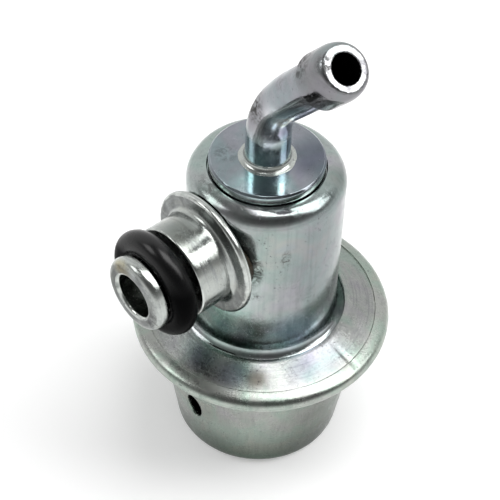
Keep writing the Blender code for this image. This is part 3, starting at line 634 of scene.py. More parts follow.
    base_colour = mix(tree, calc(tree, "MULTIPLY", worn, 0.6), base_colour,
                      colour([min(1.0, 1.5 * v) for v in base]))
    base_colour = mix(tree, scratch, base_colour, SCRATCH_COLOUR)
    base_colour = mix(tree, pits, base_colour, PIT_COLOUR)
    # Painted shade in the corners, then the dark marks of soil and painted shade.
    base_colour = mix(tree, calc(tree, "MULTIPLY", corner_shade, 0.6 * wear_and_shade, clamp=True), base_colour,
                      CORNER_SHADE_COLOUR)
    base_colour = mix(tree, soil_and_shade, base_colour, SOIL_AND_SHADE_COLOUR)

    haze = calc(tree, "MULTIPLY_ADD", fine, 0.10, calc(tree, "SUBTRACT", haze, 0.05))
    haze = calc(tree, "MULTIPLY_ADD", pits, 0.25, haze)
    haze = calc(tree, "MULTIPLY_ADD", corner_shade, 0.25, haze)
    haze = calc(tree, "MULTIPLY_ADD", worn, -0.08, haze)
    haze = calc(tree, "MULTIPLY_ADD", soil_and_shade, 0.35, haze)
    relief = calc(tree, "MULTIPLY_ADD", fine, 0.22, relief)
    relief = calc(tree, "MULTIPLY_ADD", pits, -0.5, relief)
    relief = calc(tree, "MULTIPLY_ADD", scratch, -0.6, relief)

    shader.inputs["Metallic"].default_value = 1.0
    set_surface(tree, shader, base_colour, calc(tree, "MAXIMUM", haze, 0.05), relief,
                0.35, 0.00006)
    return material


def rubber(name, base, rough=0.26):
    """Moulded rubber: nearly black, slightly cloudy gloss with fine dust and grain, and painted
    shade that dulls the gloss towards the underside."""
    material, tree, shader, place = new_material(name)
    cloud = noise(tree, place, 260, 4, 0.6)
    dust = between(tree, noise(tree, place, 3800, 2, 0.6), 0.70, 0.78)
    black = mix(tree, cloud, colour(base), colour([1.7 * v for v in base]))
    dusty = mix(tree, calc(tree, "MULTIPLY", dust, 0.08), black, DUST_COLOUR)
    haze = calc(tree, "MULTIPLY_ADD", cloud, 0.20, rough - 0.10)
    grain = calc(tree, "MULTIPLY_ADD", noise(tree, place, 3000, 3, 0.6), 0.3, cloud)
    set_surface(tree, shader, dusty, haze, grain, 0.25, 0.00004)
    # Painted shade: the gloss falls away towards the ring's underside.
    height = add_node(tree, "ShaderNodeSeparateXYZ", {0: place}).outputs[2]
    tree.links.new(
        calc(tree, "MULTIPLY_ADD", between(tree, height, 0.0450, 0.0500), 0.95, 0.03),
        shader.inputs["Specular IOR Level"])
    shader.inputs["IOR"].default_value = 1.30
    return material


def plain_steel(name, base, rough):
    """Steel or brass of the inner pieces: cloudy tone and roughness, fine grain."""
    material, tree, shader, place = new_material(name)
    cloud = noise(tree, place, 400, 4, 0.6)
    dark, pale = ([min(1, factor * v) for v in base] for factor in (0.8, 1.15))
    haze = calc(tree, "MULTIPLY_ADD", cloud, 0.2, rough - 0.1)
    set_surface(tree, shader, mix(tree, cloud, colour(dark), colour(pale)), haze,
                noise(tree, place, 2500, 3, 0.6), 0.2, 0.00005)
    shader.inputs["Metallic"].default_value = 1.0
    return material


SCRATCH_COLOUR = (0.12, 0.13, 0.13, 1)
PIT_COLOUR = (0.10, 0.10, 0.11, 1)
# Colours of the painted shade in the corners and of the dark marks of soil and painted shade.
CORNER_SHADE_COLOUR = (0.045, 0.045, 0.040, 1)
SOIL_AND_SHADE_COLOUR = (0.035, 0.033, 0.030, 1)
DUST_COLOUR = (0.05, 0.05, 0.05, 1)
SOFT_TINTS = (
    (0.28, (0.97, 0.90, 1.0)),
    (0.42, (1.0, 0.99, 1.0)),
    (0.54, (0.87, 1.0, 0.95)),
    (0.66, (1.0, 1.0, 0.96)),
    (0.78, (0.86, 0.95, 1.0)),
)
VIOLET_TINTS = (
    (0.25, (0.97, 0.90, 1.0)),
    (0.45, (1.0, 0.98, 1.0)),
    (0.60, (0.85, 1.0, 0.97)),
    (0.78, (1.0, 0.95, 1.0)),
)
PALE_TINTS = (
    (0.30, (1.0, 1.0, 0.97)),
    (0.50, (0.98, 1.0, 1.0)),
    (0.72, (1.0, 0.99, 0.95)),
)


# Pieces

def ring_angles(columns):
    """Angles of a grid's columns round the axis, as one row."""
    return (np.arange(columns) * math.tau / columns)[None]


def way_along(line):
    """Distance gone along an outline at each of its points, as one column."""
    return np.cumsum(np.r_[0, np.hypot(*np.diff(line, axis=0).T)])[:, None]


def lip_height(cup, radius):
    """Height of the lip's outer side: valley + slope * (valley's radius - radius)."""
    valley = cup.rim_bottom + cup.rim_height - VALLEY_DEPTH
    return valley + cup.lip_slope * (cup.valley_radius - radius)


def cup_wall(cup, height):
    """Radius of the cup's tapered wall: mouth's radius - taper * (shelf's height - height)."""
    return cup.mouth_radius - CUP_TAPER * (cup.rim_bottom - SHELF_DROP - height)


def cup_outline(sizes):
    """Outer side of the cup from the lip's free edge over the rolled rim, down the wall and
    across the floor to the axis.  The rim is a walk whose tilt grows with the way gone: radius
    adds cos tilt, height takes sin tilt, slowly to 24 degrees and then as a flattened arc to
    vertical."""
    neck = sizes.rim_bottom - SHELF_DROP
    shelf = sizes.rim_radius - SHELF_INSET
    rim, start = sizes.rim_radius - 0.00003, sizes.valley_radius + 0.00034
    slow = 0.00115
    across = start + 0.0001 + slow * math.cos(math.radians(20))
    bend = (rim - across) / (1 - math.sin(math.radians(30)))
    step = np.r_[[0.000025] * 4, [slow / 10] * 10, [bend * math.radians(60) / 16] * 16]
    tilt = np.radians(np.r_[np.linspace(2, 15, 4), np.linspace(15.5, 24, 10),
                            30 + 60 * (np.arange(16) + 0.5) / 16])
    squash = np.r_[[1.0] * 14, [0.78] * 16]
    walk_radius = np.minimum(start + np.cumsum(np.r_[0, step * np.cos(tilt)]), rim)
    walk_down = np.cumsum(np.r_[0, step * np.sin(tilt) * squash])
    walk_height = lip_height(sizes, start) + 0.00019 - walk_down
    return [
        (sizes.lip_radius, lip_height(sizes, sizes.lip_radius) - 0.00017, 0),
        (sizes.lip_radius + 0.0005, lip_height(sizes, sizes.lip_radius + 0.0005), 0.0021),
        (start - 0.00007, lip_height(sizes, start - 0.00007), 0.0001),
        *[(r, z, 0) for r, z in zip(walk_radius, walk_height)],
        (rim, sizes.rim_bottom, 0.0006),
        (shelf, sizes.rim_bottom, 0.0003),
        (shelf - SHELF_RAMP, neck, 0.0003),
        (sizes.mouth_radius, neck, 0.0016),
        (cup_wall(sizes, 0), 0, 0.0017),
        (0, 0, 0),
    ]


def with_vent(sizes, line, wavy, angle, radius, height):
    """The cup's grid with the oval vent, as angle, radius, height and the quads to keep.  Inside
    a square of rows and columns each point moves onto an oval ring round the vent's centre, fully
    at the vent's edge and less and less towards the square's edge: place = (1 - weight) * oval
    place + weight * even place.  The quads in the vent itself are left out."""
    columns = angle.shape[1]
    centre = math.radians(-90 + VENT_TURN)
    row = int(np.argmin(np.hypot(
        line[:, 0] - cup_wall(sizes, sizes.vent_height), line[:, 1] - sizes.vent_height)))
    column = int(round(centre / (math.tau / columns))) % columns
    reach, ring = 10, 5
    down = np.arange(len(line))[:, None] - row
    across = (np.arange(columns)[None] - column + columns // 2) % columns - columns // 2
    square = np.maximum(abs(down), abs(across)) / reach
    inside = square <= 1
    span = np.maximum(np.hypot(down, across), 1e-9)
    circle = square / (ring / reach)
    weight = np.clip((square - ring / reach) / (1 - ring / reach), 0, 1)
    arc_step = math.tau / columns * line[row, 0]
    drop_step = abs(line[row + 1, 1] - line[row, 1])
    arc = (1 - weight) * across / span * circle * sizes.vent_width + weight * across * arc_step
    drop = (1 - weight) * down / span * circle * sizes.vent_drop + weight * down * drop_step
    level = sizes.vent_height - drop
    below = down[:-1]
    hole = (below >= -ring) & (below < ring) & (across >= -ring) & (across < ring)
    return (
        np.where(inside, centre + arc / line[row, 0], angle),
        np.where(inside, cup_wall(sizes, level) + wavy, radius),
        np.where(inside, level, height), ~hole)


class REGULATOR_OT_spring_cup(bpy.types.Operator):
    """Drawn cup with its rolled rim, conical lip and vent hole"""
    bl_idname = "regulator.spring_cup"
    bl_label = "Spring cup"

    def execute(self, context):
        sizes, tones = context.scene.cup_sizes, context.scene.finishes
        columns = 240
        line = with_spacing(rounded_outline(
            cup_outline(sizes), 10, closed=False), 0.00055, closed=False)
        traits = edge_traits(line, closed=False)
        traits["faced"] = ((line[:, 0] > sizes.lip_radius - 0.001) & (
            line[:, 1] > sizes.rim_bottom + sizes.rim_height - 0.0007) & (
            line[:, 0] < sizes.valley_radius + 0.0001)).astype(float)
        along, angle = way_along(line), ring_angles(columns)
        radius, height = line[:, :1] + 0 * angle, line[:, 1:] + 0 * angle

        # A fine radial crease in the lip, then the shallow unevenness of the forming
        crease = bump_at(angle, math.radians(7.6), 0.013) * bump_at(radius, 0.0163, 0.0021)
        crease = crease * (height > sizes.rim_bottom + 0.0012)
        height = height - 0.00011 * crease
        wavy = ripple(angle, along, 4, 0.00002) * np.clip((radius - 0.004) / 0.004, 0, 1)
        radius = radius + wavy
        height = height + 0.6 * np.where(line[:, 1:] > sizes.rim_bottom, wavy, 0)

        angle, radius, height, keep = with_vent(sizes, line, wavy, angle, radius, height)
        grid = np.stack([radius * np.cos(angle), radius * np.sin(angle), height], axis=-1)
        cup = make_surface("cup_shell", grid, keep=keep, traits=traits)
        shell = cup.modifiers.new("Sheet", "SOLIDIFY")
        shell.thickness = sizes.sheet
        shell.offset = -1
        shell.use_even_offset = True
        settle(cup)
        round_edges(cup, sizes.sheet * 0.30, 5, lambda p: p.z > sizes.rim_bottom)
        round_edges(cup, 0.00012, 2, lambda p: p.z < sizes.rim_bottom)
        finish_piece(cup, "spring_cup", "housing", zinc(
            "cup zinc", tones.cup, 0.27, SOFT_TINTS, streak=2000, wear_and_shade=tones.wear_and_shade,
            # The faced factor darkens the lip: painted shade.
            turning=(2, (0, 0, 0), 1.0), faced=(0.80, -0.02), cloudy=0.12,
            # Painted light: painted shade towards the cup's bottom, on its right side and on its left
            # wall, and painted highlights and dark painted reflections round the lip.
            painted_light_and_stains=(
                ((0.0, 0.0, -0.0010), (0.0700, 0.0700, 0.0110), (0.26, 0.31, 0.27), 1.0),
                ((0.0145, 0.0030, 0.0090), (0.0110, 0.0150, 0.0170), (0.42, 0.44, 0.41), 1.0),
                ((0.0106, -0.0104, 0.0240), (0.0026, 0.0026, 0.0016), (0.34, 0.31, 0.28), 1.0),
                ((0.0079, -0.0125, 0.0243), (0.0036, 0.0036, 0.0022), (0.44, 0.48, 0.56), 0.9),
                ((0.0030, -0.0140, 0.0245), (0.0036, 0.0030, 0.0022), (0.55, 0.58, 0.66), 0.8),
                ((-0.0150, -0.0060, 0.0110), (0.0060, 0.0080, 0.0200), (0.72, 0.76, 0.71), 0.8),
                ((0.0145, -0.0015, 0.0245), (0.0050, 0.0070, 0.0030), (0.86, 0.83, 0.94), 0.9),
                ((-0.0120, -0.0110, 0.0245), (0.0070, 0.0080, 0.0030), (1.35, 1.42, 1.50), 0.9),
                ((0.0020, -0.0130, 0.0245), (0.0050, 0.0040, 0.0030), (0.80, 0.96, 0.93), 0.8),
                ((-0.0016, -0.0146, 0.0245), (0.0050, 0.0045, 0.0025), (1.38, 1.38, 1.40), 1.0),
                ((0.0152, 0.0065, 0.0240), (0.0045, 0.0060, 0.0025), (1.28, 1.28, 1.28), 1.0),
                ((0.0136, -0.0043, 0.0248), (0.0036, 0.0036, 0.0022), (0.74, 0.77, 0.80), 1.0),
                ((0.0085, -0.0103, 0.0243), (0.0030, 0.0030, 0.0020), (0.74, 0.82, 0.80), 1.0),
            ),
            marks=(
                ((-0.0172, -0.0062, 0.0236), (0.0022, 0.0050, 0.0018), 0.75),
                ((0.0020, -0.0148, 0.0250), (0.0022, 0.0012, 0.0012), 0.45),
            )))
        return {"FINISHED"}


class REGULATOR_OT_fuel_housing(bpy.types.Operator):
    """Deep drawn housing with its shoulder, recess and flat seat for the plug"""
    bl_idname = "regulator.fuel_housing"
    bl_label = "Fuel housing"

    def execute(self, context):
        sizes, cup = context.scene.housing_sizes, context.scene.cup_sizes
        plug, tones = context.scene.plug_sizes, context.scene.finishes
        inner = sizes.body_radius - BODY_WALL
        slant = math.hypot(1.0, cup.lip_slope)

        def upper(radius):
            return lip_height(cup, radius) - FLANGE_DROP * slant

        lower = FLANGE_SHEET * slant
        edge = cup.rim_radius - FLANGE_INSET
        middle = cup.rim_bottom + 0.00095
        dip = cup.valley_radius + 0.0001
        recess = sizes.body_top - RECESS_DEPTH
        ceiling = sizes.body_top - BODY_WALL
        corners = [
            (DISC_HOLE, recess, 0),
            (sizes.disc_radius + SEAT_GAP, recess, 0.0001),
            (sizes.disc_radius + SEAT_GAP, sizes.body_top, 0.0001),
            (sizes.body_radius, sizes.body_top, sizes.shoulder),
            (sizes.body_radius, upper(sizes.body_radius), 0.0017),
            (dip, upper(dip), 0.0005),
            (edge, middle + 0.00025, 0.0002),
            (edge, middle - 0.00025, 0.0002),
            (dip, upper(dip) - lower, 0.0005),
            (inner, upper(inner) - lower, 0.0012),
            (inner, ceiling, 0.0014),
            (DISC_HOLE, ceiling, 0),
        ]
        line = with_spacing(rounded_outline(corners, 12), 0.0006)
        columns = 240
        grid = turned_about_z(line, columns)
        angle = ring_angles(columns)
        wavy = ripple(angle, way_along(line) * 0.35, 11, 0.000018)
        outer = ((line[:, 0] > inner + 0.0006) & (line[:, 1] > 0.024))[:, None]
        push = np.where(outer, wavy, 0)
        grid[..., 0] += push * np.cos(angle)
        grid[..., 1] += push * np.sin(angle)
        housing = make_surface("housing_shell", grid, loop_rows=True, traits=edge_traits(line))
        reach, inside = 0.0130, 0.0048
        seat_radius, seat_face = plug.collar_radius + SEAT_GAP, plug.collar_face - COLLAR_SEAT
        seat = np.array([
            (0, reach), (seat_radius, reach), (seat_radius, seat_face),
            (PLUG_HOLE, seat_face), (PLUG_HOLE, inside), (0, inside)])
        cutter = make_surface("seat_cutter", turned_about_inlet(seat, 128, plug.height))
        cut_away(housing, cutter)
        finish_piece(housing, "fuel_housing", "housing", zinc(
            "housing zinc", tones.body, 0.16, SOFT_TINTS, streak=1300, wear_and_shade=tones.wear_and_shade,
            # The ring round the collar is a stain with the collar's painted shadow.
            collar_stain_and_shadow=(plug.height, 0.0074, 0.0010, 0.90), cloudy=0.20,
            # Painted light: painted reflections on the body's front and round the foot, bright and
            # dark, and painted shade on the right side and the shoulder's right.
            painted_light_and_stains=(
                ((0.0030, -0.0106, 0.0360), (0.0045, 0.0050, 0.0120), (1.20, 1.48, 1.38), 0.9),
                ((0.0, 0.0, 0.0280), (0.0400, 0.0400, 0.0055), (1.28, 1.32, 1.33), 1.0),
                ((0.0060, -0.0094, 0.0270), (0.0036, 0.0036, 0.0022), (0.42, 0.40, 0.44), 1.0),
                ((0.0104, -0.0036, 0.0290), (0.0050, 0.0055, 0.0050), (1.35, 1.50, 1.70), 0.9),
                ((0.0110, 0.0010, 0.0420), (0.0060, 0.0100, 0.0200), (0.70, 0.67, 0.72), 0.9),
                ((0.0109, 0.0015, 0.0280), (0.0030, 0.0034, 0.0040), (1.60, 1.64, 1.68), 1.0),
                ((0.0076, 0.0063, 0.0505), (0.0030, 0.0040, 0.0030), (0.68, 0.68, 0.68), 1.0),
                ((0.0066, -0.0088, 0.0390), (0.0032, 0.0032, 0.0080), (1.22, 1.30, 1.27), 0.9),
            ),
            marks=(
                ((-0.0010, -0.0085, 0.0515), (0.0040, 0.0022, 0.0016), 0.6),
                ((-0.0075, -0.0065, 0.0470), (0.0020, 0.0030, 0.0040), 0.5),
                ((0.0098, -0.0050, 0.0445), (0.0010, 0.0010, 0.0022), 0.7),
                ((0.0075, -0.0080, 0.0372), (0.0012, 0.0012, 0.0012), 0.6),
            )))
        return {"FINISHED"}


class REGULATOR_OT_outlet_disc(bpy.types.Operator):
    """Turned disc in the housing's top with its sockets"""
    bl_idname = "regulator.outlet_disc"
    bl_label = "Outlet disc"

    def execute(self, context):
        sizes, tones = context.scene.housing_sizes, context.scene.finishes
        pipe = context.scene.pipe_sizes
        top = sizes.disc_top
        bottom = top - DISC_THICKNESS
        socket = pipe.radius + 0.0002
        corners = [
            (socket, top, 0.0001),
            (sizes.disc_radius - DISC_CHAMFER, top, 0.0001),
            (sizes.disc_radius, top - DISC_CHAMFER, 0.0001),
            (sizes.disc_radius, bottom, 0.0001),
            (SPIGOT_RADIUS, bottom, 0),
            (SPIGOT_RADIUS, bottom - SPIGOT_LENGTH, 0.0003),
            (SEAT_PIPE_SOCKET, bottom - SPIGOT_LENGTH, 0),
            (SEAT_PIPE_SOCKET, bottom - 0.0014, 0),
            (pipe.bore, bottom - 0.0014, 0),
            (pipe.bore, bottom - 0.0009, 0),
            (socket, bottom - 0.0009, 0),
        ]
        line = with_spacing(rounded_outline(corners, 5), 0.0004)
        disc = make_surface(
            "disc_plate", turned_about_z(line, 224), loop_rows=True,
            traits=edge_traits(line, scale=0.0003))
        finish_piece(disc, "outlet_disc", "housing", zinc(
            "disc zinc", tones.disc, 0.14, VIOLET_TINTS, turning=(2, (0, 0, 0), 0.3),
            wear_and_shade=tones.wear_and_shade, flecks=1.3, ripples=0.5,
            # Painted light: a painted reflection on the front of the face, painted shade on its
            # right, a painted highlight near the pipe and a painted highlight round the disc's side.
            painted_light_and_stains=(
                ((0.0040, -0.0045, top), (0.0050, 0.0050, 0.0030), (1.80, 2.15, 2.05), 0.9),
                ((0.0045, 0.0050, top), (0.0060, 0.0060, 0.0030), (0.50, 0.54, 0.58), 1.0),
                ((0.0056, -0.0029, top), (0.0020, 0.0020, 0.0020), (1.45, 1.38, 1.35), 1.0),
                ((0.0, 0.0, top - 0.0009), (0.0400, 0.0400, 0.0007), (2.30, 2.30, 2.05), 1.0),
            ),
            marks=(((-0.0040, -0.0040, top), (0.0026, 0.0026, 0.0010), 0.35),)))
        return {"FINISHED"}


def pipe_frame(bend, angle, rise, foot, along):
    """Centre line and its sideways direction at a distance along it: straight up, then an arc in
    the plane of X and Z, then straight again."""
    arc = bend * angle
    straight = np.clip(along, -1, rise)
    turn = np.clip((along - rise) / bend, 0, angle)
    rest = np.clip(along - rise - arc, 0, None)
    x = bend * (1 - np.cos(turn)) + rest * math.sin(angle)
    z = foot + straight + bend * np.sin(turn) + rest * math.cos(angle)
    return x, z, np.cos(turn), -np.sin(turn)


def pipe_outline(sizes, total):
    """Distance along the centre line and radius, over the wall, the bead, its quarter-round nose,
    the flat face and back down the bore, and how many points lie outside.  The bead rises as
    (half - half * cosine) to the power 0.8, the nose falls as cosine to the power 0.9."""
    bead, big = sizes.bead_length, sizes.bead - 0.00006
    wall = np.linspace(0, total - bead - BEAD_SHOULDER, 70)
    growth = np.linspace(0, 1, 18)[1:]
    step = (0.5 - 0.5 * np.cos(math.pi * growth)) ** 0.8
    turn = np.linspace(0, math.pi / 2, 26)[1:]
    bore = total - np.linspace(0.0008, total - 0.0002, 60)
    parts = (
        (wall, np.full(70, sizes.radius)),
        (total - bead - BEAD_SHOULDER * (1 - growth),
         sizes.radius + (big - sizes.radius) * step),
        (total - bead + (bead - BEAD_NOSE) * np.linspace(0, 1, 10)[1:], np.full(9, big)),
        (total - BEAD_NOSE + (BEAD_NOSE - 0.00006) * np.sin(turn),
         BEAD_FACE + (big - BEAD_FACE) * np.cos(turn) ** 0.9),
        (np.full(5, total - 0.00005),
         np.linspace(BEAD_FACE - 0.00006, MOUTH_RADIUS + 0.00007, 5)),
        (total - np.array([0.00008, 0.00016, 0.0005]),
         MOUTH_RADIUS + np.array([0.00001, 0, 0])),
        (bore, np.where(bore > total - bead, MOUTH_RADIUS, sizes.bore)),
    )
    along, radius = (np.concatenate([part[k] for part in parts]) for k in (0, 1))
    return along, radius, sum(len(part[0]) for part in parts[:4])


class REGULATOR_OT_return_pipe(bpy.types.Operator):
    """Bent pipe with its round hose bead, bored through"""
    bl_idname = "regulator.return_pipe"
    bl_label = "Return pipe"

    def execute(self, context):
        sizes, tones = context.scene.pipe_sizes, context.scene.finishes
        top = context.scene.housing_sizes.disc_top
        foot = top - PIPE_SINK
        rise = PIPE_SINK + sizes.rise
        angle = math.radians(sizes.angle)
        total = rise + sizes.bend * angle + sizes.reach - 0.00012
        along, radius, outside = pipe_outline(sizes, total)

        columns = 144
        x, z, side_x, side_z = pipe_frame(sizes.bend, angle, rise, foot, along)
        phi = ring_angles(columns)
        arc = sizes.bend * angle
        from_middle = np.clip(np.abs(along - rise - arc / 2) / arc, 0, 1)
        flat = sizes.flat * np.cos(from_middle * math.pi / 2) ** 2
        outer = np.arange(len(along)) < outside
        rough_face = bump_at(along, total - 0.0001, 0.00030) * (radius < 0.0031)
        rng = np.random.default_rng(5)
        ragged = sum(
            np.sin(k * phi + rng.uniform(0, math.tau)) * rng.uniform(0.3, 1)
            for k in (3, 5, 8, 13, 21, 29)) / 3
        wavy = ripple(phi, along[:, None], 21, 0.000010) * outer[:, None]
        swing = radius[:, None] + wavy + 0.00005 * ragged * rough_face[:, None]
        in_plane = swing * np.cos(phi)
        in_plane = in_plane + flat[:, None] * np.clip(-np.cos(phi), 0, 1) ** 2
        sideways = swing * np.sin(phi) * (1 + 20 * flat)[:, None]
        grid = np.stack([
            x[:, None] + in_plane * side_x[:, None], sideways,
            z[:, None] + in_plane * side_z[:, None]], axis=-1)
        line = np.stack([radius, -along], axis=1)
        traits = edge_traits(line, side=-1)
        traits["worn"] = np.maximum(traits["worn"], rough_face)
        pipe = make_surface("pipe_tube", grid, loop_rows=True, flip=True, traits=traits)
        finish_piece(pipe, "return_pipe", "housing", zinc(
            "pipe zinc", tones.pipe, 0.12, VIOLET_TINTS, wear_and_shade=tones.wear_and_shade, flecks=0.8,
            ripples=0.8,
            # Painted light: painted reflections low on the pipe, painted shade on the arm, the bead
            # and the bend, a painted highlight at the bend and a painted reflection along the arm's
            # underside.
            painted_light_and_stains=(
                ((0.0, 0.0, 0.0555), (0.0080, 0.0080, 0.0060), (1.25, 1.62, 1.56), 0.9),
                ((0.0075, 0.0, 0.0710), (0.0200, 0.0200, 0.0130), (0.66, 0.64, 0.68), 1.0),
                ((0.0111, 0.0, 0.0750), (0.0070, 0.0070, 0.0060), (0.46, 0.48, 0.44), 1.0),
                ((-0.0020, -0.0020, 0.0630), (0.0060, 0.0060, 0.0070), (0.49, 0.49, 0.50), 1.0),
                ((0.0046, -0.0022, 0.0640), (0.0036, 0.0028, 0.0036), (2.40, 2.45, 2.40), 1.0),
                ((0.0047, 0.0001, 0.0565), (0.0016, 0.0016, 0.0026), (1.50, 1.40, 1.40), 1.0),
                ((0.0047, -0.0018, 0.0639), (0.0030, 0.0018, 0.0020), (1.90, 1.92, 1.85), 1.0),
                ((0.0070, -0.0018, 0.0667), (0.0030, 0.0018, 0.0020), (1.90, 1.92, 1.85), 1.0),
                ((0.0093, -0.0018, 0.0694), (0.0030, 0.0018, 0.0020), (1.90, 1.92, 1.85), 1.0),
            ),
            marks=(
                ((-0.0005, -0.0030, 0.0640), (0.0034, 0.0026, 0.0034), 1.0),
                ((0.0030, -0.0030, 0.0710), (0.0030, 0.0020, 0.0024), 0.6),
                ((0.0072, -0.0018, 0.0752), (0.0040, 0.0036, 0.0030), 0.8),
                ((0.0116, -0.0020, 0.0778), (0.0020, 0.0018, 0.0018), 0.9),
            )))
        return {"FINISHED"}


class REGULATOR_OT_pipe_braze(bpy.types.Operator):
    """Concave braze ring round the pipe's foot"""
    bl_idname = "regulator.pipe_braze"
    bl_label = "Pipe braze"

    def execute(self, context):
        sizes, tones = context.scene.pipe_sizes, context.scene.finishes
        top = context.scene.housing_sizes.disc_top
        inner = sizes.radius - 0.00005
        swing = np.linspace(0, math.pi / 2, 14)
        reach = 0.00085
        line = np.concatenate([
            np.stack([inner + 0.00005 + reach * (1 - np.cos(swing)),
                      top + 0.00083 - 0.0008 * np.sin(swing)], axis=1),
            [(inner + reach + 0.00006, top + 0.00001), (inner, top + 0.00001)]])
        columns = 160
        grid = turned_about_z(line, columns)
        weight = np.linspace(0, 1, len(line))[:, None]
        uneven = weight * ripple(ring_angles(columns), 0.001 * weight, 33, 0.03)
        grid[..., :2] *= 1 + uneven[..., None]
        braze = make_surface("pipe_fillet", grid, loop_rows=True)
        finish_piece(braze, "pipe_braze", "housing", zinc(
            "fillet zinc", tones.plug, 0.22, PALE_TINTS, wear_and_shade=tones.wear_and_shade))
        return {"FINISHED"}


class REGULATOR_OT_inlet_plug(bpy.types.Operator):
    """Turned plug with nose, groove, shank, collar and bore"""
    bl_idname = "regulator.inlet_plug"
    bl_label = "Inlet plug"

    def execute(self, context):
        sizes, tones = context.scene.plug_sizes, context.scene.finishes
        level = sizes.height
        nose_back = sizes.nose_face - NOSE_LENGTH
        shank = nose_back - GROOVE_LENGTH
        collar_back = sizes.collar_face - COLLAR_THICKNESS
        spigot = collar_back - PLUG_SPIGOT_LENGTH
        corners = [
            (sizes.bore, sizes.nose_face, 0.0005),
            (sizes.nose_radius, sizes.nose_face, 0.0011),
            (sizes.nose_radius, nose_back, 0.00015),
            (GROOVE_RADIUS, nose_back, 0.00015),
            (GROOVE_RADIUS, shank, 0.00015),
            (sizes.shank_radius, shank, 0.0003),
            (sizes.shank_radius, sizes.collar_face, 0.0009),
            (sizes.collar_radius, sizes.collar_face, 0.00045),
            (sizes.collar_radius, collar_back, 0.00045),
            (PLUG_SPIGOT_RADIUS, collar_back, 0),
            (PLUG_SPIGOT_RADIUS, spigot, 0),
            (sizes.bore - 0.0002, spigot, 0),
            (sizes.bore - 0.0002, sizes.nose_face - 0.0052, 0.0001),
            (sizes.bore, sizes.nose_face - 0.0054, 0.0001),
        ]
        line = with_spacing(rounded_outline(corners, 9), 0.0004)
        traits = edge_traits(line, scale=0.0005)
        run = np.roll(line, -1, axis=0) - np.roll(line, 1, axis=0)
        facing = np.abs(run[:, 0]) / (np.hypot(*run.T) + 1e-9)
        traits["faced"] = np.clip((facing - 0.75) / 0.2, 0, 1)
        plug = make_surface(
            "plug_body", turned_about_inlet(line, 208, level), loop_rows=True, traits=traits)
        finish_piece(plug, "inlet_plug", "housing", zinc(
            "plug zinc", tones.plug, 0.17, PALE_TINTS, turning=(1, (0, 0, level), 1.0),
            # The faced factor darkens the nose and collar faces: painted shade.
            wear_and_shade=tones.wear_and_shade, flecks=0.7, ripples=0.7, faced=(0.34, 0.08),
            # Painted shade on the nose's face and the shank's top, a real brown stain on the nose's
            # top left, and a painted highlight along the plug's front.
            painted_light_and_stains=(
                ((-0.0043, -0.0236, level), (0.0022, 0.0012, 0.0050), (0.58, 0.60, 0.56), 1.0),
                ((0.0, -0.0150, level + 0.0070), (0.0050, 0.0040, 0.0030), (0.45, 0.47, 0.46), 0.9),
                ((-0.0025, -0.0240, level + 0.0040), (0.0030, 0.0016, 0.0024),
                 (0.8, 0.66, 0.36), 0.9),
                ((0.0, -0.0185, level - 0.0010), (0.0036, 0.0060, 0.0036), (1.90, 2.00, 1.90), 1.0),
            ),
            # The mark on the shank's top is painted shade, the one on the nose a dark torn mark.
            marks=(
                ((0.0040, -0.0236, level - 0.0010), (0.0020, 0.0020, 0.0030), 0.5),
                ((0.0006, -0.0150, level + 0.0064), (0.0020, 0.0022, 0.0020), 0.45),
            )))
        return {"FINISHED"}


class REGULATOR_OT_sealing_ring(bpy.types.Operator):
    """Moulded rubber ring, a little squarish, with its parting line"""
    bl_idname = "regulator.sealing_ring"
    bl_label = "Sealing ring"

    def execute(self, context):
        sizes, tones = context.scene.plug_sizes, context.scene.finishes
        middle = (RING_BOX[0].y + RING_BOX[1].y) / 2
        swing = np.arange(112) * math.tau / 112
        swing = swing - 0.09 * np.sin(swing * 2)
        seam = 0.00005 * bump_at(swing, math.radians(38), 0.035)
        section = sizes.ring_section - 0.00004 + seam
        line = np.stack([
            RING_RADIUS + section * np.cos(swing), -middle - section * np.sin(swing)], axis=1)
        ring = make_surface(
            "rubber_ring", turned_about_inlet(line, 224, sizes.height), loop_rows=True)
        finish_piece(
            ring, "sealing_ring", "housing", rubber("ring rubber", tones.rubber))
        return {"FINISHED"}


class REGULATOR_OT_diaphragm(bpy.types.Operator):
    """Rubber diaphragm: its clamped edge rides on the housing, its middle, which in the part bends
    down with the valve, rides on no body
    """
    bl_idname = "regulator.diaphragm"
    bl_label = "Diaphragm"

    def execute(self, context):
        sizes = context.scene.inner_sizes
        top, low = sizes.middle, sizes.middle - sizes.sheet
        floor, under = top - sizes.loop_depth, low - sizes.loop_depth
        half = (sizes.loop_in + sizes.loop_out) / 2
        middle = [
            (sizes.hole, top, 0), (sizes.loop_in, top, 0.0006),
            (sizes.loop_in + 0.0010, floor, 0.0008), (half, floor, 0), (half, under, 0),
            (sizes.loop_in + 0.0007, under, 0.0009), (sizes.loop_in - 0.0003, low, 0.0004),
            (sizes.hole, low, 0),
        ]
        edge = [
            (half, floor, 0), (sizes.loop_out - 0.0012, floor, 0.0008),
            (sizes.loop_out - 0.0002, sizes.clamp_top - 0.0004, 0.0004),
            (sizes.clamp_radius, sizes.clamp_top, 0.0002),
            (sizes.edge_radius, sizes.edge_top, 0), (sizes.edge_radius, sizes.seat, 0),
            (sizes.loop_out + 0.00035, sizes.seat, 0.0002),
            (sizes.loop_out - 0.0009, under, 0.0009), (half, under, 0),
        ]
        sheet = rubber("diaphragm rubber", (0.02, 0.02, 0.021), 0.55)
        for name, corners in (("diaphragm_middle", middle), ("diaphragm_edge", edge)):
            line = with_spacing(rounded_outline(corners), 0.00025)
            piece = make_surface(name, turned_about_z(line, 144), loop_rows=True)
            bends = name == "diaphragm_middle"
            finish_piece(
                piece, "diaphragm", None if bends else "housing", sheet)
            if bends:
                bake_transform(piece)
        return {"FINISHED"}


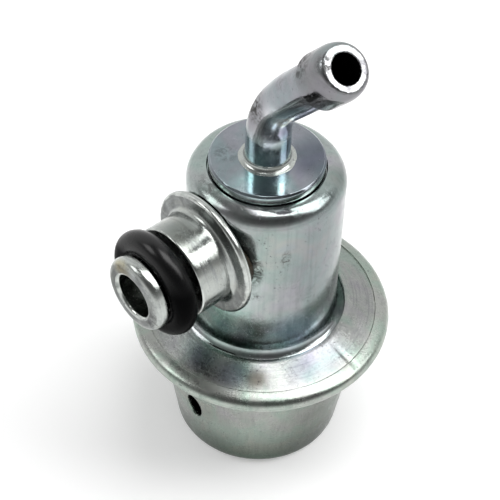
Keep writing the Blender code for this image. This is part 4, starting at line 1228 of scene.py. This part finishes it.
class REGULATOR_OT_main_spring(bpy.types.Operator):
    """Round-wire compression spring with closed ends, built at one length; in the part it flattens as
    the valve opens
    """
    bl_idname = "regulator.main_spring"
    bl_label = "Main spring"

    def execute(self, context):
        sizes = context.scene.inner_sizes
        turn = np.linspace(0, 1, 433) * sizes.turns
        near_end = np.minimum(turn, sizes.turns - turn)
        rate = 0.55 + 0.45 * np.clip((near_end - 0.85) / 0.3, 0, 1)
        rise = np.concatenate([[0], np.cumsum(rate[1:] + rate[:-1])])
        low, high = sizes.spring_foot + sizes.wire, sizes.spring_top - sizes.wire
        height = low + (high - low) * rise / rise[-1]
        angle = turn * math.tau
        slope = np.gradient(height, angle) / sizes.coil
        still = np.zeros(len(angle))
        outward = np.stack([np.cos(angle), np.sin(angle), still], axis=-1)
        ahead = np.stack([-np.sin(angle), np.cos(angle), slope], axis=-1)
        ahead /= np.hypot(1, slope)[:, None]
        across = np.cross(outward, ahead)
        line = outward * sizes.coil
        line[:, 2] = height
        phi = np.arange(28) * math.tau / 28
        ring = (
            outward[:, None] * np.cos(phi)[None, :, None]
            + across[:, None] * np.sin(phi)[None, :, None])
        tube = line[:, None] + sizes.wire * ring
        ends = [np.repeat(line[k][None, None], len(phi), axis=1) for k in (0, -1)]
        spring = make_surface("spring_coil", np.concatenate([ends[0], tube, ends[1]]))
        finish_piece(spring, "main_spring", "housing", plain_steel(
            "spring steel", (0.42, 0.42, 0.43), 0.38))
        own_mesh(spring)
        return {"FINISHED"}


class REGULATOR_OT_inner_parts(bpy.types.Operator):
    """Materials of the CAD pieces that stay: braze, seat pipe, valve and small spring"""
    bl_idname = "regulator.inner_parts"
    bl_label = "Inner parts"

    def execute(self, context):
        tones = context.scene.finishes
        steel = plain_steel("inner steel", (0.60, 0.60, 0.58), 0.35)
        brass = plain_steel("holder brass", (0.80, 0.62, 0.32), 0.30)
        polished = plain_steel("ball steel", (0.74, 0.74, 0.74), 0.14)
        wire = plain_steel("small spring steel", (0.42, 0.42, 0.43), 0.38)
        braze = zinc("joint braze", tones.braze, 0.34, PALE_TINTS, wear_and_shade=1.4, flecks=1.6)
        finish = {
            "inlet_braze_left": braze, "inlet_braze_right": braze, "seat_pipe": steel,
            "spring_seat": steel, "upper_plate": steel, "lower_plate": steel,
            "plate_retainer": steel, "valve_holder": brass, "valve_plate": polished,
            "valve_ball": polished, "ball_spring": wire,
        }
        for name, material in finish.items():
            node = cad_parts[name]
            node.data.materials.clear()
            node.data.materials.append(material)
        return {"FINISHED"}


# Stage

def seen_directly(tree):
    """One for what the camera sees by itself, in metal or through glass, nothing else."""
    path = add_node(tree, "ShaderNodeLightPath").outputs
    seen = calc(tree, "MAXIMUM", path["Is Camera Ray"], path["Is Glossy Ray"])
    return calc(tree, "MAXIMUM", seen, path["Is Transmission Ray"])


def pointing(tree, way, direction):
    """How far a direction in a shader points along a given one."""
    return add_node(tree, "ShaderNodeVectorMath", {0: way, 1: direction},
                    operation="DOT_PRODUCT").outputs[1]


def studio_floor(tones):
    """Wide pale floor.  Seen directly or in metal it glows a little, so that it reads as white
    paper and still shows the shadow, and far off it fades into the white backdrop."""
    mesh = bpy.data.meshes.new("floor")
    half = 3.0
    mesh.from_pydata(
        [(-half, -half, 0), (half, -half, 0), (half, half, 0), (-half, half, 0)], [],
        [(0, 1, 2, 3)])
    floor = bpy.data.objects.new("floor", mesh)
    bpy.context.scene.collection.objects.link(floor)
    material, tree, shader, place = new_material("floor paper")
    shader.inputs["Base Color"].default_value = colour(tones.floor)
    shader.inputs["Roughness"].default_value = 0.9
    shader.inputs["Specular IOR Level"].default_value = 0.1
    seen = seen_directly(tree)
    glow = add_node(tree, "ShaderNodeEmission", {
        "Color": (1, 1, 1, 1), "Strength": calc(tree, "MULTIPLY", seen, 0.30)}).outputs[0]
    both = add_node(tree, "ShaderNodeAddShader", {0: shader.outputs[0], 1: glow}).outputs[0]
    away = add_node(tree, "ShaderNodeVectorMath", {0: place}, operation="LENGTH").outputs[1]
    white = add_node(tree, "ShaderNodeEmission", {"Color": (1, 1, 1, 1), "Strength": 1.0})
    fade = calc(tree, "MULTIPLY", between(tree, away, 0.10, 0.42), seen)
    faded = add_node(
        tree, "ShaderNodeMixShader", {0: fade, 1: both, 2: white.outputs[0]}).outputs[0]
    tree.links.new(faded, tree.nodes["Material Output"].inputs["Surface"])
    mesh.materials.append(material)


def studio_world():
    """White backdrop low down and a dim room above it, paler on the far side and to the left,
    for what is seen directly, in metal or through glass, and a plain grey for diffuse light."""
    world = bpy.data.worlds.new("studio")
    bpy.context.scene.world = world
    world.use_nodes = True
    tree = world.node_tree
    way = add_node(tree, "ShaderNodeTexCoord").outputs["Generated"]
    rise = add_node(tree, "ShaderNodeSeparateXYZ", {0: way}).outputs[2]
    room = ramp(tree, rise, (
        (0.0, 1.0), (0.10, 0.9), (0.24, 0.45), (0.50, 0.14), (0.80, 0.09), (1.0, 0.25)))
    far = pointing(tree, way, PICTURE_AWAY)
    left = pointing(tree, way, tuple(-v for v in PICTURE_RIGHT))
    extra = calc(tree, "MULTIPLY", between(tree, far, 0.1, 0.7), 0.22)
    extra = calc(tree, "MULTIPLY_ADD", between(tree, left, 0.1, 0.9), 0.12, extra)
    room = mix(tree, 1.0, room, add_node(tree, "ShaderNodeCombineColor", {
        0: extra, 1: extra, 2: extra}).outputs[0], "ADD")
    low = between(tree, rise, 0.14, 0.09)
    panel = calc(tree, "MULTIPLY", between(tree, rise, 0.88, 0.80), between(tree, far, 0.2, 0.5))
    backdrop = mix(tree, calc(tree, "MAXIMUM", low, panel), room, (1, 1, 1, 1))
    light = mix(tree, seen_directly(tree), (0.40, 0.40, 0.40, 1), backdrop)
    background = tree.nodes["Background"]
    tree.links.new(light, background.inputs["Color"])
    background.inputs["Strength"].default_value = 1.0


def area_lamp(name, place, aim, size, power):
    """Rectangular soft lamp that faces a point, with its width along the picture's."""
    data = bpy.data.lights.new(name, "AREA")
    data.shape = "RECTANGLE"
    data.size, data.size_y = size
    data.energy = power
    lamp = bpy.data.objects.new(name, data)
    bpy.context.scene.collection.objects.link(lamp)
    back = (Vector(place) - Vector(aim)).normalized()
    up = back.cross(Vector(PICTURE_RIGHT)).normalized()
    lamp.matrix_world = Matrix.Translation(place) @ Matrix(
        (up.cross(back), up, back)).transposed().to_4x4()
    lamp.visible_camera = False


class REGULATOR_OT_stage(bpy.types.Operator):
    """Floor, backdrop, lamps and the camera at the photograph's angle"""
    bl_idname = "regulator.stage"
    bl_label = "Stage"

    def execute(self, context):
        settings = context.scene.stage_settings
        studio_floor(settings)
        studio_world()
        area_lamp("overhead", (0.095, 0.147, 0.61), (0, 0, 0.03), (0.48, 0.34),
                  settings.overhead)
        area_lamp("key", (0.43, 0.43, 0.58), (0, 0, 0.04), (0.36, 0.36), settings.key)
        area_lamp("fill", (-0.37, -0.40, 0.55), (0, 0, 0.04), (0.30, 0.30), settings.fill)

        azimuth, elevation, roll = (
            math.radians(v) for v in (CAMERA_AZIMUTH, CAMERA_ELEVATION, CAMERA_ROLL))
        back = Vector((
            math.sin(azimuth) * math.cos(elevation),
            -math.cos(azimuth) * math.cos(elevation), math.sin(elevation)))
        right = Vector((math.cos(azimuth), math.sin(azimuth), 0))
        up = back.cross(right)
        turned_right = right * math.cos(roll) - up * math.sin(roll)
        turned_up = right * math.sin(roll) + up * math.cos(roll)
        data = bpy.data.cameras.new("camera")
        data.sensor_width = 36
        data.lens = settings.lens
        data.clip_start = 0.01
        camera = bpy.data.objects.new("camera", data)
        context.scene.collection.objects.link(camera)
        camera.matrix_world = Matrix.Translation(CAMERA_PLACE) @ Matrix(
            (turned_right, turned_up, back)).transposed().to_4x4()
        context.scene.camera = camera
        context.scene.view_settings.view_transform = "Standard"
        return {"FINISHED"}


STEPS = (
    REGULATOR_OT_spring_cup, REGULATOR_OT_fuel_housing, REGULATOR_OT_outlet_disc,
    REGULATOR_OT_return_pipe, REGULATOR_OT_pipe_braze, REGULATOR_OT_inlet_plug,
    REGULATOR_OT_sealing_ring, REGULATOR_OT_diaphragm,
    REGULATOR_OT_main_spring, REGULATOR_OT_inner_parts, REGULATOR_OT_stage,
)
GROUPS = {
    "cup_sizes": CupSizes, "housing_sizes": HousingSizes, "pipe_sizes": PipeSizes,
    "plug_sizes": PlugSizes, "inner_sizes": InnerSizes, "finishes": Finishes,
    "stage_settings": StageSettings,
}


class VIEW3D_PT_regulator(bpy.types.Panel):
    """Sidebar panel with the regulator's sizes, finishes and steps"""
    bl_label = "Pressure regulator valve"
    bl_space_type = "VIEW_3D"
    bl_region_type = "UI"
    bl_category = "Regulator"

    def draw(self, context):
        for name, group in GROUPS.items():
            box = self.layout.box()
            box.label(text=group.__doc__)
            for key in group.__annotations__:
                box.prop(getattr(context.scene, name), key)
        for step in STEPS:
            self.layout.operator(step.bl_idname)


def register():
    for kind in (*GROUPS.values(), *STEPS, VIEW3D_PT_regulator):
        bpy.utils.register_class(kind)
    for name, group in GROUPS.items():
        setattr(bpy.types.Scene, name, PointerProperty(type=group))


def unregister():
    for name in GROUPS:
        delattr(bpy.types.Scene, name)
    for kind in (VIEW3D_PT_regulator, *reversed(STEPS), *reversed(list(GROUPS.values()))):
        bpy.utils.unregister_class(kind)


def main():
    """Builds every piece in order."""
    register()
    bpy.ops.regulator.spring_cup()
    bpy.ops.regulator.fuel_housing()
    bpy.ops.regulator.outlet_disc()
    bpy.ops.regulator.return_pipe()
    bpy.ops.regulator.pipe_braze()
    bpy.ops.regulator.inlet_plug()
    bpy.ops.regulator.sealing_ring()
    bpy.ops.regulator.diaphragm()
    bpy.ops.regulator.main_spring()
    bpy.ops.regulator.inner_parts()
    bpy.ops.regulator.stage()


if __name__ == "__main__":
    main()
